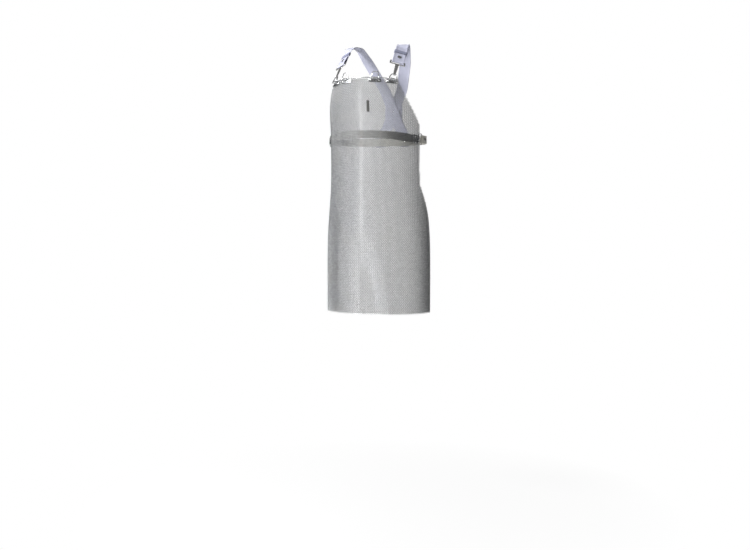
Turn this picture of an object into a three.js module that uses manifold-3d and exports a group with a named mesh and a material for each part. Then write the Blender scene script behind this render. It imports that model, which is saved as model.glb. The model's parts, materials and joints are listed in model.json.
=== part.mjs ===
// Butcher's ring-mesh apron on a quick-release strap harness, shaped as it hangs on its wearer.
// Millimetres, +Z up. The wearer faces -Y and their left hand is at +X. The origin lies midway between
// the two flat strap undersides that rest on the shoulder tops, so the shoulders are at z = 0.
import * as THREE from 'three';
import { mergeVertices } from 'three/addons/utils/BufferGeometryUtils.js';
import Module from 'manifold-3d';

const wasm = await Module();
wasm.setup();

// ---- Driving dimensions ----

const SEAT = 0.3; // gap that seated pieces keep
const FIT = 0.12; // gap between a fastener's heads and what they clamp
const RUN = 0.25; // radial clearance of a bar that turns in its knuckle

// The wearer's form: height, half width, front depth, back depth.
const FORM = [
  [-100, 150, 136, 100],
  [-165, 160, 142, 108],
  [-296, 158, 133, 105],
  [-446, 158, 135, 102],
  [-623, 171, 137, 115],
  [-858, 173, 135, 110],
];

// Ring mesh, cut flat: its length, its thickness, and its half width at each distance from the top edge.
const MAIL_LENGTH = 750;
const MAIL_THICK = 3;
const SKIRT_HALF = 275;
const OUTLINE = [[0, 125], [47, 152], [104, 190], [127, 203], [200, 203], [320, 206], [435, SKIRT_HALF]];
const TOP_Z = -113; // the top edge at the front centre
const DRAPE_SHARE = 0.993; // height that the mesh covers for each millimetre of its length
const CORNER_DROOP = 22; // how far the top row would sink at DROOP_OUT from the centre
const DROOP_OUT = 200;
const WING_SEAM = 206; // the side wings fold along a line this far from the centre
const WING_GAP = 0.4; // from the front sheet's edge to a wing's
const AXIS_OUT = 0.2; // the wings fold round a line this far outside the sheet
const TOP_WIRE_R = 1.5;
const TOP_WIRE_UP = 0.4; // gap from the top edge up to the wire

// The front of the legs: the mesh sinks between them below the crotch.
const CROTCH_Z = -600;
const VALLEY_DEPTH = 14;
const VALLEY_HALF = 38;
const VALLEY_X = [12, 45]; // sideways place of the valley, at the crotch and at the hem

// Clips on the top edge.
const CORNER_S = 105; // places along the top edge, on both sides
const INNER_S = 51;
const CLIP_WIDTH = 38;
const CLIP_HEIGHT = 12;
const CLIP_TOP = 1; // distance from the mesh's top edge down to the plates' top
const PLATE = 1.5;
const KNUCKLE_LENGTH = 16;
const KNUCKLE_WALL = 1.2;
const KNUCKLE_LAP = 2.2; // how far the knuckle's tube reaches down over its plate
const KNUCKLE_SINK = 0.5; // how far it reaches into the plate's face
const LEAF = 3.5; // height of the web that carries the knuckle on its plate
const LEAF_DOWN = 1; // from the knuckle's axis down to the web
const LEAF_SINK = 0.2; // how far the web reaches past the plate's face
const CORNER_LIFT = 1; // a corner knuckle stands out further, because it turns towards the strap
const RIVET_R = 1.5;
const RIVET_HEAD_R = 3;
const RIVET_HEAD = 1.1;
const RIVET_DOME_R = 1.8;
const CLIP_RIVET_APART = 26;

// Rings in the clips.
const WIRE_R = 1.5;
const RING_BASE = 26;
const RING_APEX = 16;
const RING_HEIGHT = 19;
const RING_ROUND = 3.5; // how much of each side a ring's corner takes

// T-shaped plates that hang in the straps' loops and hold the corner rings.
const T_PLATE = 2.5;
const T_LENGTH = 52; // from the ring's apex bar up to the rail's middle
const T_RAIL = 3; // height of the rail, and of the bar under the slot
const T_SLOT = 7; // height of the slot
const T_CHEEK = 5; // metal beyond each end of the slot
const T_STEM = 11;
const T_CORNER = 2;
const T_SHOULDER = 8; // length of stem that keeps its full width
const T_PLAY = 1; // between the strap's edge and each end of the slot
const HOOK_LENGTH = 8;

// Shoulder straps.
const STRAP_WIDTH = 38;
const STRAP_THICK = 2;
const SLOT_PLAY = 0.5; // clearance of a strap's loop around its rail or bar
const LOOP_LEAD = 3; // how far a loop's outer run goes back past its bar
const SHOULDER_X = 88;
const SHOULDER_HALF = 21; // half the level stretch over the shoulder, before its ends bend
const SHOULDER_YAW = 20; // degrees that the straps turn inwards over the shoulders
const CHEST_YAW = 36; // degrees that they turn round the chest at their lower ends
const SHOULDER_BLADE = [65, 62, -48];
const BACK_Y = 108.8; // middle of the lower strap's thickness, down the back
const CROSS_Z = -200;
const BACK_TOP_Z = -130;
const BACK_LOW_Z = -262;
const BACK_LEAN = 0.436; // sideways for each millimetre down the back
const STRAP_END_IN = 44; // from the back's centre line to the straps' lower ends, round the belt
const STRAP_END_GAP = 0.8; // between a flat strap end and the middle of the curved belt behind it
const STRAP_END_Z = [-285, -318];
const STRAP_END_YAW = 12;
const BEND = 14; // how much of each leg a bend in a strap takes
const CHEST_STRAIGHT = 50; // a strap starts to turn over the shoulder this far above its rail
const TAIL_LENGTH = 32;
const TAIL_LIFT = 0.5; // gap under a tail's free end
const STUD_UP = 19; // from the rail up to the press stud
const STUD_CAP_R = 6.5;
const STUD_CAP = 1.8;
const STUD_RIM = 0.6;
const STUD_DOME_R = 4.55;
const STUD_SHANK_R = 1.8;
const STUD_FLANGE_R = 4;
const STUD_FLANGE = 0.8;
const STUD_BASE_R = 5.2;
const STUD_HEAD_R = 3;
const STUD_HEAD = 0.9;
const KEEPER_UP = 42; // from the rail up to the keeper's middle
const KEEPER_LENGTH = 10;
const KEEPER_WALL = 1.5;
const KEEPER_PLAY = 0.5;
const KEEPER_ROOM = 5; // clear height inside, for the strap and its tail
const CROSS_PLATE = [62, 46]; // width and height of the patch where the straps cross
const CROSS_PATCH = 1.5;

// Belt.
const BELT_WIDTH = 25;
const BELT_THICK = 2;
const BELT_Z = -287; // at the front centre
const BELT_DROP = 15; // lower than that at the sides
const ANCHOR_S = 181;
const ANCHOR_WIDTH = 18;
const ANCHOR_HEIGHT = 30;
const ANCHOR_RIVETS = 18; // between the middles of the two
const BELT_FRONT_HALF = 191;
const BELT_RING_WIDTH = 12; // between the middles of the ring's two bars
const BELT_RING_HEIGHT = 34;
const BELT_KNUCKLE = 20;
const BELT_ON_FORM = 236; // where the rear belt comes down onto the form
const BELT_TAIL = 44;
const BELT_TAIL_SLACK = 0.4; // more room at the tail's start, because it lies outside the belt's curve
const BELT_STUD = 18; // from the ring's bar to the press stud
const BELT_STEP = 9; // length of one straight piece of the rear belt

// Size tag, a folded label sewn through the mesh.
const TAG = { s: 30, t: 88, width: 9, length: 36, thick: 1.2 };

const ROUND = 10; // sides of a round piece
const WIRE_SIDES = 6;
const THROUGH = 2; // how far a drill runs past what it pierces
const ARC_PIECES = 90; // pieces that half the form's outline is measured in
const MAIL_SPAN = 8; // a fastener on the mesh takes its directions from this far on each side
const BELT_SPAN = 4;
const EDGE_SPANS = 20;
const COLUMN = 22; // width of one column of a draped sheet
const ROW = 26;
const PLATE_COLUMN = 7; // the same on a small plate
const FACET = 0.5; // how far a flat facet of the belt can sink below its curve

// ---- Materials ----

const metal = (color, roughness) => new THREE.MeshStandardMaterial({ color, roughness, metalness: 1 });
const plain = (color, roughness) => new THREE.MeshStandardMaterial({ color, roughness, metalness: 0 });
const FINISH = {
  mail: () => metal(0xa9aba8, 0.4),
  steel: () => metal(0xc9cacb, 0.2),
  strap: () => plain(0x8d97a8, 0.55),
  belt: () => plain(0x8c8a7c, 0.7),
  tag: () => plain(0x4a4a48, 0.8),
};

// ---- Solids ----

const root = new THREE.Group();
const AXIS = { x: new THREE.Vector3(1, 0, 0), y: new THREE.Vector3(0, 1, 0), z: new THREE.Vector3(0, 0, 1) };
const { clamp, lerp, mapLinear } = THREE.MathUtils;

function welded(geometry) {
  const bare = geometry.clone();
  bare.deleteAttribute('normal');
  bare.deleteAttribute('uv');
  return mergeVertices(bare, 1e-4);
}

function solid(geometry) {
  const merged = welded(geometry);
  return new wasm.Manifold(new wasm.Mesh({
    numProp: 3,
    vertProperties: new Float32Array(merged.attributes.position.array),
    triVerts: new Uint32Array(merged.index.array),
  }));
}

function geometryOf(made) {
  const mesh = made.getMesh();
  const geometry = new THREE.BufferGeometry();
  geometry.setAttribute('position', new THREE.BufferAttribute(mesh.vertProperties, 3));
  geometry.setIndex(new THREE.BufferAttribute(mesh.triVerts, 1));
  geometry.computeVertexNormals();
  return geometry;
}

const cut = (body, tools) => (
  geometryOf(tools.reduce((left, tool) => left.subtract(solid(tool)), solid(body))));
const join = (bodies) => geometryOf(bodies.map(solid).reduce((all, next) => all.add(next)));

function add(name, geometry, finish) {
  const mesh = new THREE.Mesh(geometry, FINISH[finish]());
  mesh.name = name;
  root.add(mesh);
}

// Moves every vertex of a geometry, which keeps it closed.
function reshape(geometry, place) {
  const position = geometry.attributes.position;
  for (let i = 0; i < position.count; i += 1) {
    const p = place(position.getX(i), position.getY(i), position.getZ(i));
    position.setXYZ(i, p.x, p.y, p.z);
  }
  return geometry;
}

// ---- The wearer's form ----

// A smooth curve through a table's rows, read at z.
function formSize(z, column) {
  const last = FORM.length - 1;
  let i = 0;
  while (i < last - 1 && z < FORM[i + 1][0]) i += 1;
  const slope = (k) => {
    const a = FORM[Math.max(k - 1, 0)];
    const b = FORM[Math.min(k + 1, last)];
    return (b[column] - a[column]) / (b[0] - a[0]);
  };
  const step = FORM[i + 1][0] - FORM[i][0];
  const f = clamp((z - FORM[i][0]) / step, 0, 1);
  const rise = FORM[i + 1][column] - FORM[i][column];
  const blend = f * f * (3 - 2 * f);
  return FORM[i][column] + rise * blend
    + step * (slope(i) * f * (1 - f) ** 2 - slope(i + 1) * f * f * (1 - f));
}

function valley(x, z) {
  const [hemZ] = FORM[FORM.length - 1];
  const down = clamp((CROTCH_Z - z) / (CROTCH_Z - hemZ), 0, 1);
  const centre = lerp(VALLEY_X[0], VALLEY_X[1], down);
  return VALLEY_DEPTH * down * (2 - down) * Math.exp(-(((x - centre) / VALLEY_HALF) ** 2));
}

// The length of the form's outline at height z, from the front centre to the back centre.
function halfRound(z) {
  const step = Math.PI / ARC_PIECES;
  let length = 0;
  for (let i = 0; i < ARC_PIECES; i += 1) {
    const angle = (i + 0.5) * step;
    const depth = formSize(z, angle < Math.PI / 2 ? 2 : 3);
    length += Math.hypot(formSize(z, 1) * Math.cos(angle), depth * Math.sin(angle)) * step;
  }
  return length;
}

// The form's angle from the front centre at an arc length s, at height z.
function angleAt(s, z) {
  const [a, front, back] = [formSize(z, 1), formSize(z, 2), formSize(z, 3)];
  const step = Math.PI / ARC_PIECES;
  const target = Math.abs(s);
  let length = 0;
  for (let i = 0; i < ARC_PIECES; i += 1) {
    const angle = (i + 0.5) * step;
    const depth = angle < Math.PI / 2 ? front : back;
    const piece = Math.hypot(a * Math.cos(angle), depth * Math.sin(angle)) * step;
    if (length + piece >= target) return Math.sign(s) * (i + (target - length) / piece) * step;
    length += piece;
  }
  return Math.sign(s) * Math.PI;
}

// The point at arc length s and height z, standing off the form by a distance.
function onForm(s, z, off) {
  const angle = angleAt(s, z);
  const a = formSize(z, 1);
  const depth = Math.abs(angle) < Math.PI / 2 ? formSize(z, 2) : formSize(z, 3);
  const out = new THREE.Vector3(Math.sin(angle) / a, -Math.cos(angle) / depth, 0).normalize();
  const x = a * Math.sin(angle);
  const y = -depth * Math.cos(angle) + (Math.abs(angle) < Math.PI / 2 ? valley(x, z) : 0);
  return new THREE.Vector3(x, y, z).addScaledVector(out, off);
}

// The belt's height round the waist, and how far round the straps' lower ends are riveted to it.
const beltZ = (s) => BELT_Z - BELT_DROP * Math.min(1, (s / ANCHOR_S) ** 2);
const SIDE_Z = beltZ(ANCHOR_S);
const STRAP_END_S = halfRound(SIDE_Z) - STRAP_END_IN;

// ---- The mesh ----

function halfWidth(t) {
  for (let i = 1; i < OUTLINE.length; i += 1) {
    const [[t0, w0], [t1, w1]] = [OUTLINE[i - 1], OUTLINE[i]];
    if (t <= t1) return mapLinear(t, t0, t1, w0, w1);
  }
  return SKIRT_HALF;
}

// Where the flat mesh's point (s across, t down from the top edge) hangs.
function onMail(s, t, off) {
  const droop = CORNER_DROOP * (1 - t / MAIL_LENGTH) * (s / DROOP_OUT) ** 2;
  return onForm(s, TOP_Z - DRAPE_SHARE * t - droop, off);
}

// A sheet draped on the mesh's surface. Its box runs across X, down -Y and outwards along Z.
function draped(width, length, thick, place, column = COLUMN, row = ROW) {
  const box = new THREE.BoxGeometry(1, 1, 1, Math.ceil(width / column), Math.ceil(length / row), 1);
  return reshape(box, (x, y, z) => place(x + 0.5, 0.5 - y, (z + 0.5) * thick));
}

// How far down the flat mesh a side wing begins, at arc length s.
function wingTop(s) {
  const [[t0, w0], [t1, w1]] = OUTLINE.slice(-2);
  return mapLinear(s, w0, w1, t0, t1);
}

function frontMail() {
  return draped(2 * WING_SEAM, MAIL_LENGTH, MAIL_THICK, (u, v, w) => {
    const half = Math.min(halfWidth(v * MAIL_LENGTH), WING_SEAM);
    return onMail(lerp(-half, half, u), v * MAIL_LENGTH, w);
  });
}

function wingMail(side) {
  const inner = WING_SEAM + WING_GAP;
  return draped(SKIRT_HALF - inner, MAIL_LENGTH - wingTop(inner), MAIL_THICK, (u, v, w) => {
    const s = side > 0 ? lerp(inner, SKIRT_HALF, u) : lerp(-SKIRT_HALF, -inner, u);
    return onMail(s, lerp(wingTop(Math.abs(s)), MAIL_LENGTH, v), w);
  });
}

// The edge wire follows the top edge just above the mesh.
function topWire() {
  const half = halfWidth(0) - TOP_WIRE_R;
  const straight = new THREE.CylinderGeometry(TOP_WIRE_R, TOP_WIRE_R, 1, ROUND, EDGE_SPANS);
  return reshape(straight, (x, y, z) => {
    const p = onMail(lerp(-half, half, y + 0.5), 0, MAIL_THICK / 2 - z);
    p.z += x + TOP_WIRE_R + TOP_WIRE_UP;
    return p;
  });
}

// ---- Fasteners ----

// A lathed pin along +Z from a list of [radius, height] points.
function turned(profile) {
  const points = profile.map(([r, h]) => new THREE.Vector2(r, h));
  return new THREE.LatheGeometry(points, ROUND).rotateX(Math.PI / 2);
}

// A rivet that clamps a stack from height `low` to `high`, with a flat head and a domed one.
function rivet(low, high) {
  const [under, over] = [low - FIT, high + FIT];
  return turned([
    [0, under - RIVET_HEAD], [RIVET_HEAD_R, under - RIVET_HEAD], [RIVET_HEAD_R, under], [RIVET_R, under],
    [RIVET_R, over], [RIVET_HEAD_R, over], [RIVET_DOME_R, over + RIVET_HEAD], [0, over + RIVET_HEAD],
  ]);
}

// A drill through a stack from height `low` to `high`, run a little past both.
function drill(low, high, r = RIVET_R + RUN) {
  const bit = new THREE.CylinderGeometry(r, r, high - low + 2 * THROUGH, ROUND);
  return bit.rotateX(Math.PI / 2).translate(0, 0, (low + high) / 2);
}

// A frame with its Z along `out` and its X as near as it can be to `across`.
function frameAt(origin, across, out) {
  const z = out.clone().normalize();
  const x = across.clone().addScaledVector(z, -across.dot(z)).normalize();
  return new THREE.Matrix4().makeBasis(x, z.clone().cross(x), z).setPosition(origin);
}

// The mesh's own frame at a flat point: X across, Y up the mesh, Z outwards, the origin on its inner face.
function mailFrame(s, t) {
  const across = onMail(s + MAIL_SPAN, t, 0).sub(onMail(s - MAIL_SPAN, t, 0));
  const up = onMail(s, t - MAIL_SPAN, 0).sub(onMail(s, t + MAIL_SPAN, 0));
  return frameAt(onMail(s, t, 0), across, across.clone().cross(up));
}

const placed = (geometry, frame) => geometry.clone().applyMatrix4(frame);
const pointIn = (frame, x, y, z) => new THREE.Vector3(x, y, z).applyMatrix4(frame);
const axisOf = (frame, i) => new THREE.Vector3().setFromMatrixColumn(frame, i);

// A plain rod along X.
const rod = (r, length) => new THREE.CylinderGeometry(r, r, length, ROUND).rotateZ(Math.PI / 2);

// ---- Rounded lines, wire rings and ribbons ----

// A line through corner points, with each inner corner rounded by a short curve.
function rounded(corners, bend, steps = 3) {
  const line = [corners[0].clone()];
  for (let i = 1; i < corners.length - 1; i += 1) {
    const [a, b, c] = [corners[i - 1], corners[i], corners[i + 1]];
    const into = b.clone().addScaledVector(a.clone().sub(b).normalize(), bend);
    const away = b.clone().addScaledVector(c.clone().sub(b).normalize(), bend);
    line.push(...new THREE.QuadraticBezierCurve3(into, b, away).getPoints(steps));
  }
  line.push(corners[corners.length - 1].clone());
  return line;
}

// A closed wire ring in the XY plane. Its base bar lies along X at the origin, its apex bar at `height`.
function wireRing(base, apex, height) {
  const half = [[-base / 2, 0], [base / 2, 0], [apex / 2, height], [-apex / 2, height]];
  const corners = half.map(([x, y]) => new THREE.Vector3(x, y, 0));
  const path = rounded([corners[3], ...corners, corners[0]], RING_ROUND).slice(1, -1);
  const middle = 2;
  const torus = new THREE.TorusGeometry(middle, 1, WIRE_SIDES, path.length);
  return reshape(torus, (x, y, z) => {
    const turn = Math.round(Math.atan2(y, x) / (Math.PI * 2) * path.length);
    const i = (turn + path.length) % path.length;
    const ahead = path[(i + 1) % path.length].clone().sub(path[(i + path.length - 1) % path.length]);
    const out = new THREE.Vector3(ahead.y, -ahead.x, 0).normalize();
    const aside = (Math.hypot(x, y) - middle) * WIRE_R;
    return path[i].clone().addScaledVector(out, aside).addScaledVector(AXIS.z, z * WIRE_R);
  });
}

// The frame of a ribbon at one of its points: X across it, Y along it and Z through its thickness.
function ribbonFrame(points, refs, i) {
  const last = points.length - 1;
  const before = points[i].clone().sub(points[Math.max(i - 1, 0)]).normalize();
  const after = points[Math.min(i + 1, last)].clone().sub(points[i]).normalize();
  const along = before.add(after).normalize();
  const across = refs[i].clone().addScaledVector(along, -refs[i].dot(along)).normalize();
  return new THREE.Matrix4().makeBasis(across, along, across.clone().cross(along)).setPosition(points[i]);
}

function ribbon(points, refs, width, thick) {
  const spans = points.length - 1;
  const box = new THREE.BoxGeometry(width, 1, thick, 1, spans, 1);
  const frames = points.map((_, i) => ribbonFrame(points, refs, i));
  return reshape(box, (x, y, z) => pointIn(frames[Math.round((y + 0.5) * spans)], x, 0, z));
}

// A loop round a bar at a frame's origin. It ends on its outer side, `lead` past the bar along Y.
function loopEnd(frame, radius) {
  const steps = 6;
  const points = [pointIn(frame, 0, LOOP_LEAD, radius)];
  for (let i = 0; i <= steps; i += 1) {
    const turn = i * Math.PI / steps;
    points.push(pointIn(frame, 0, -radius * Math.sin(turn), radius * Math.cos(turn)));
  }
  return points;
}

// ---- Fold-back tails and their press studs, in the frame of the bar that the loop goes round ----

// A tail's middle line, from the loop's end down to the strap that it folds back onto.
function tailLine(radius, thick, length) {
  const start = [LOOP_LEAD + SEAT, radius];
  const end = [start[0] + length, -radius + thick + TAIL_LIFT];
  return (y) => mapLinear(y, start[0], end[0], start[1], end[1]);
}

function tail(radius, width, thick, length) {
  const line = tailLine(radius, thick, length);
  const box = new THREE.BoxGeometry(width, length, thick).translate(0, LOOP_LEAD + SEAT + length / 2, 0);
  return reshape(box, (x, y, z) => new THREE.Vector3(x, y, line(y) + z));
}

// The frame of the tail's middle line at the stud, its Z along the tail's outer side.
function studFrame(radius, thick, length, up) {
  const line = tailLine(radius, thick, length);
  const out = new THREE.Vector3(0, line(up - 1) - line(up), 1);
  return frameAt(new THREE.Vector3(0, up, line(up)), AXIS.x, out);
}

// The cap half: a domed cap outside the tail, its shank through it and a flange inside.
function studCap(thick) {
  const [under, over] = [-thick / 2 - FIT, thick / 2 + FIT];
  return turned([
    [0, under - STUD_FLANGE], [STUD_FLANGE_R, under - STUD_FLANGE], [STUD_FLANGE_R, under],
    [STUD_SHANK_R, under], [STUD_SHANK_R, over], [STUD_CAP_R, over], [STUD_CAP_R, over + STUD_RIM],
    [STUD_DOME_R, over + STUD_CAP], [0, over + STUD_CAP],
  ]);
}

// The post half: a flange under the strap, its shank through it and a head between strap and tail.
function studPost(thick) {
  const [under, over] = [-thick / 2 - FIT, thick / 2 + FIT];
  return turned([
    [0, under - STUD_FLANGE], [STUD_BASE_R, under - STUD_FLANGE], [STUD_BASE_R, under],
    [STUD_SHANK_R, under], [STUD_SHANK_R, over], [STUD_HEAD_R, over], [STUD_HEAD_R, over + STUD_HEAD],
    [0, over + STUD_HEAD],
  ]);
}

// ---- Clips ----

const KNUCKLE_R = WIRE_R + RUN + KNUCKLE_WALL;
const FRONT_OUT = MAIL_THICK + SEAT; // the outer plates' inner faces, from the mesh's inner face
const PLATE_TOP = FRONT_OUT + PLATE;
const INNER_GAP = 0.75; // from the mesh's inner face to what lies behind it, past its flat facets
const BACK_LOW = -INNER_GAP - PLATE;
const STRAP_LIFT = STRAP_THICK + SEAT; // the upper strap's height over the lower one
const KNUCKLE_UP = CLIP_HEIGHT / 2 + KNUCKLE_R - KNUCKLE_LAP;
const KNUCKLE_OUT = PLATE_TOP + KNUCKLE_R - KNUCKLE_SINK;
const CLIP_T = CLIP_TOP + CLIP_HEIGHT / 2;
const mailHoles = [];

function drapedPlate(s, t, width, height, low) {
  return draped(width, height, PLATE, (u, v, w) => (
    onMail(s + (u - 0.5) * width, t + (v - 0.5) * height, low + w)), PLATE_COLUMN, PLATE_COLUMN);
}

// A plate with a knuckle tube on it, bored through for the ring's bar.
function knucklePlate(plate, knuckleFrame, length, lift = 0) {
  const deep = KNUCKLE_R + lift;
  const leaf = new THREE.BoxGeometry(length, LEAF, deep);
  leaf.translate(0, -LEAF / 2 - LEAF_DOWN, -deep / 2 - LEAF_SINK);
  const body = join([plate, placed(rod(KNUCKLE_R, length), knuckleFrame), placed(leaf, knuckleFrame)]);
  return cut(body, [placed(rod(WIRE_R + RUN, length + 2 * CLIP_WIDTH), knuckleFrame)]);
}

// Each clip is made for the left, with its ring's knuckle on a given frame, and mirrored for the right.
function clip(name, side, s, ringFrame, lift = 0) {
  const bolts = [-1, 1].map((way) => mailFrame(s + way * CLIP_RIVET_APART / 2, CLIP_T));
  const bores = bolts.map((frame) => placed(drill(BACK_LOW, PLATE_TOP), frame));
  const plate = drapedPlate(s, CLIP_T, CLIP_WIDTH, CLIP_HEIGHT, FRONT_OUT);
  const front = knucklePlate(plate, ringFrame, KNUCKLE_LENGTH, lift);
  const put = (piece, geometry) => add(`${name}_${piece}`, onSide(side, geometry), 'steel');
  put('front_plate', cut(front, bores));
  put('back_plate', cut(drapedPlate(s, CLIP_T, CLIP_WIDTH, CLIP_HEIGHT, BACK_LOW), bores));
  bolts.forEach((frame, i) => put(`rivet_${i + 1}`, placed(rivet(BACK_LOW, PLATE_TOP), frame)));
  mailHoles.push(...bores.map((bore) => onSide(side, bore)));
}

// An inner clip's ring stands up in line with the mesh.
function innerClip(side) {
  const mail = mailFrame(INNER_S, CLIP_T);
  const ringFrame = mail.clone().setPosition(pointIn(mail, 0, KNUCKLE_UP, KNUCKLE_OUT));
  const ring = placed(wireRing(RING_BASE, RING_APEX, RING_HEIGHT), ringFrame);
  clip(`inner_clip_${side}`, side, INNER_S, ringFrame);
  add(`inner_clip_${side}_ring`, onSide(side, ring), 'steel');
  joint(side, 'inner_ring', ringFrame.elements.slice(12, 15), axisOf(ringFrame, 0));
}

function sizeTag() {
  return draped(TAG.width, TAG.length, TAG.thick, (u, v, w) => (
    onMail(TAG.s + (u - 0.5) * TAG.width, TAG.t + (v - 0.5) * TAG.length, FRONT_OUT + w)));
}

// ---- Shoulder straps ----

const turnedX = (degrees) => AXIS.x.clone().applyAxisAngle(AXIS.z, THREE.MathUtils.degToRad(degrees));
const LOOP_R = Math.hypot(T_RAIL, T_PLATE) / 2 + SLOT_PLAY + STRAP_THICK / 2;
const RAIL_UP = RING_HEIGHT + T_LENGTH; // from the knuckle up to the T-plate's rail

// The left strap's corners over the shoulder, then down the back to the belt, with the way it faces.
function strapCorners(lift) {
  const along = turnedX(SHOULDER_YAW + 90);
  const top = new THREE.Vector3(SHOULDER_X, 0, STRAP_THICK / 2);
  const down = (z) => new THREE.Vector3(BACK_LEAN * (z - CROSS_Z), BACK_Y + lift, z);
  const off = BELT_THICK + STRAP_END_GAP + STRAP_THICK / 2;
  return [
    [top.clone().addScaledVector(along, -SHOULDER_HALF), SHOULDER_YAW],
    [top.clone().addScaledVector(along, SHOULDER_HALF), SHOULDER_YAW],
    [new THREE.Vector3(...SHOULDER_BLADE), 0],
    [down(BACK_TOP_Z), 0],
    [down(BACK_LOW_Z), 0],
    ...STRAP_END_Z.map((z) => [onForm(-STRAP_END_S, z, off), STRAP_END_YAW]),
  ];
}

// The frame of a corner clip's ring: its X along the knuckle and its Y up towards the shoulder.
function chainFrame(s) {
  const mail = mailFrame(s, CLIP_T);
  const knuckle = pointIn(mail, 0, KNUCKLE_UP, KNUCKLE_OUT + CORNER_LIFT);
  const [goal] = strapCorners(0)[0];
  const across = turnedX(CHEST_YAW);
  const aims = 4;
  let up = goal.clone().sub(knuckle).normalize();
  for (let i = 0; i < aims; i += 1) {
    const out = across.clone().addScaledVector(up, -across.dot(up)).cross(up).normalize();
    up = goal.clone().addScaledVector(out, LOOP_R).sub(knuckle).normalize();
  }
  const x = across.clone().addScaledVector(up, -across.dot(up)).normalize();
  return new THREE.Matrix4().makeBasis(x, up, x.clone().cross(up)).setPosition(knuckle);
}

const SIDES = ['left', 'right'];
const MIRROR = new THREE.Matrix4().makeScale(-1, 1, 1);

// A mirrored solid, with its faces turned back outwards.
function mirrored(geometry) {
  const flipped = welded(geometry).applyMatrix4(MIRROR);
  const { array } = flipped.index;
  for (let i = 0; i < array.length; i += 3) [array[i + 1], array[i + 2]] = [array[i + 2], array[i + 1]];
  return flipped;
}

const onSide = (side, geometry) => (side === 'left' ? geometry : mirrored(geometry));

function tPlate() {
  const slotHalf = STRAP_WIDTH / 2 + T_PLAY;
  const wide = slotHalf + T_CHEEK - T_CORNER;
  const top = T_RAIL / 2 - T_CORNER;
  const low = -T_RAIL / 2 - T_SLOT - T_RAIL;
  const hookTop = -T_LENGTH + KNUCKLE_R - KNUCKLE_WALL;
  const shape = new THREE.Shape();
  shape.absarc(-wide, low + T_CORNER, T_CORNER, Math.PI, Math.PI * 1.5);
  shape.lineTo(-T_STEM / 2, low);
  shape.lineTo(-T_STEM / 2, low - T_SHOULDER);
  shape.lineTo(-HOOK_LENGTH / 2, hookTop);
  shape.lineTo(HOOK_LENGTH / 2, hookTop);
  shape.lineTo(T_STEM / 2, low - T_SHOULDER);
  shape.lineTo(T_STEM / 2, low);
  shape.absarc(wide, low + T_CORNER, T_CORNER, -Math.PI / 2, 0);
  shape.absarc(wide, top, T_CORNER, 0, Math.PI / 2);
  shape.absarc(-wide, top, T_CORNER, Math.PI / 2, Math.PI);
  const slot = new THREE.Path();
  const corners = [[-1, -1], [-1, 1], [1, 1], [1, -1]];
  slot.setFromPoints(corners.map(([x, y]) => (
    new THREE.Vector2(x * slotHalf, (-T_RAIL - T_SLOT + y * T_SLOT) / 2))));
  shape.holes.push(slot);
  const plate = new THREE.ExtrudeGeometry(shape, { depth: T_PLATE, bevelEnabled: false, curveSegments: 3 });
  const hook = rod(KNUCKLE_R, HOOK_LENGTH).translate(0, -T_LENGTH, 0);
  const bore = rod(WIRE_R + RUN, CLIP_WIDTH).translate(0, -T_LENGTH, 0);
  return cut(join([plate.translate(0, 0, -T_PLATE / 2), hook]), [bore]);
}

function keeper() {
  const [w, h] = [STRAP_WIDTH / 2 + KEEPER_PLAY, KEEPER_ROOM];
  const low = -STRAP_THICK / 2 - KEEPER_PLAY;
  const outer = new THREE.BoxGeometry(2 * (w + KEEPER_WALL), KEEPER_LENGTH, h + 2 * KEEPER_WALL);
  const inner = new THREE.BoxGeometry(2 * w, KEEPER_LENGTH + THROUGH, h);
  return cut(outer.translate(0, 0, low + h / 2), [inner.translate(0, 0, low + h / 2)]);
}

// The left chain's frames: the corner ring's, and the T-plate's on the middle of its rail.
function chainFrames() {
  const ring = chainFrame(CORNER_S);
  return { ring, rail: ring.clone().setPosition(pointIn(ring, 0, RAIL_UP, 0)) };
}

// Points of a strap's middle line, and the way it faces at each, from its loop down to its lower end.
function strapLine(lift) {
  const { rail } = chainFrames();
  const loop = loopEnd(rail, LOOP_R);
  const straight = pointIn(rail, 0, CHEST_STRAIGHT, -LOOP_R);
  const corners = strapCorners(lift);
  const steps = 3;
  const run = rounded([loop.at(-1), straight, ...corners.map(([point]) => point)], BEND, steps);
  const across = axisOf(rail, 0);
  const ways = [across, across, ...corners.map(([, yaw]) => turnedX(yaw))];
  const facing = run.map((_, i) => ways[Math.min(Math.ceil(i / (steps + 1)), ways.length - 1)]);
  return { points: [...loop, ...run.slice(1)], refs: [...loop.map(() => across), ...facing.slice(1)] };
}

// The press stud's two frames on a strap: its post on the strap, its cap on the tail.
function strapStudFrames(rail) {
  const post = rail.clone().setPosition(pointIn(rail, 0, STUD_UP, -LOOP_R));
  const cap = rail.clone().multiply(studFrame(LOOP_R, STRAP_THICK, TAIL_LENGTH, STUD_UP));
  return { post, cap };
}

const studBore = (thick, frame) => placed(drill(-thick / 2, thick / 2, STUD_SHANK_R + RUN), frame);

function shoulderStrap(side, lift) {
  const { points, refs } = strapLine(lift);
  const half = STRAP_THICK / 2;
  const holes = [
    studBore(STRAP_THICK, strapStudFrames(chainFrames().rail).post),
    placed(drill(-half, STRAP_LIFT + half), crossFrame()),
    placed(drill(-half, half), endFrame()),
  ];
  const strap = cut(ribbon(points, refs, STRAP_WIDTH, STRAP_THICK), holes);
  const endRivet = placed(rivet(-half - STRAP_END_GAP - BELT_THICK, half), endFrame());
  add(`shoulder_strap_${side}`, onSide(side, strap), 'strap');
  add(`strap_end_rivet_${side}`, onSide(side, endRivet), 'steel');
}

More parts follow.
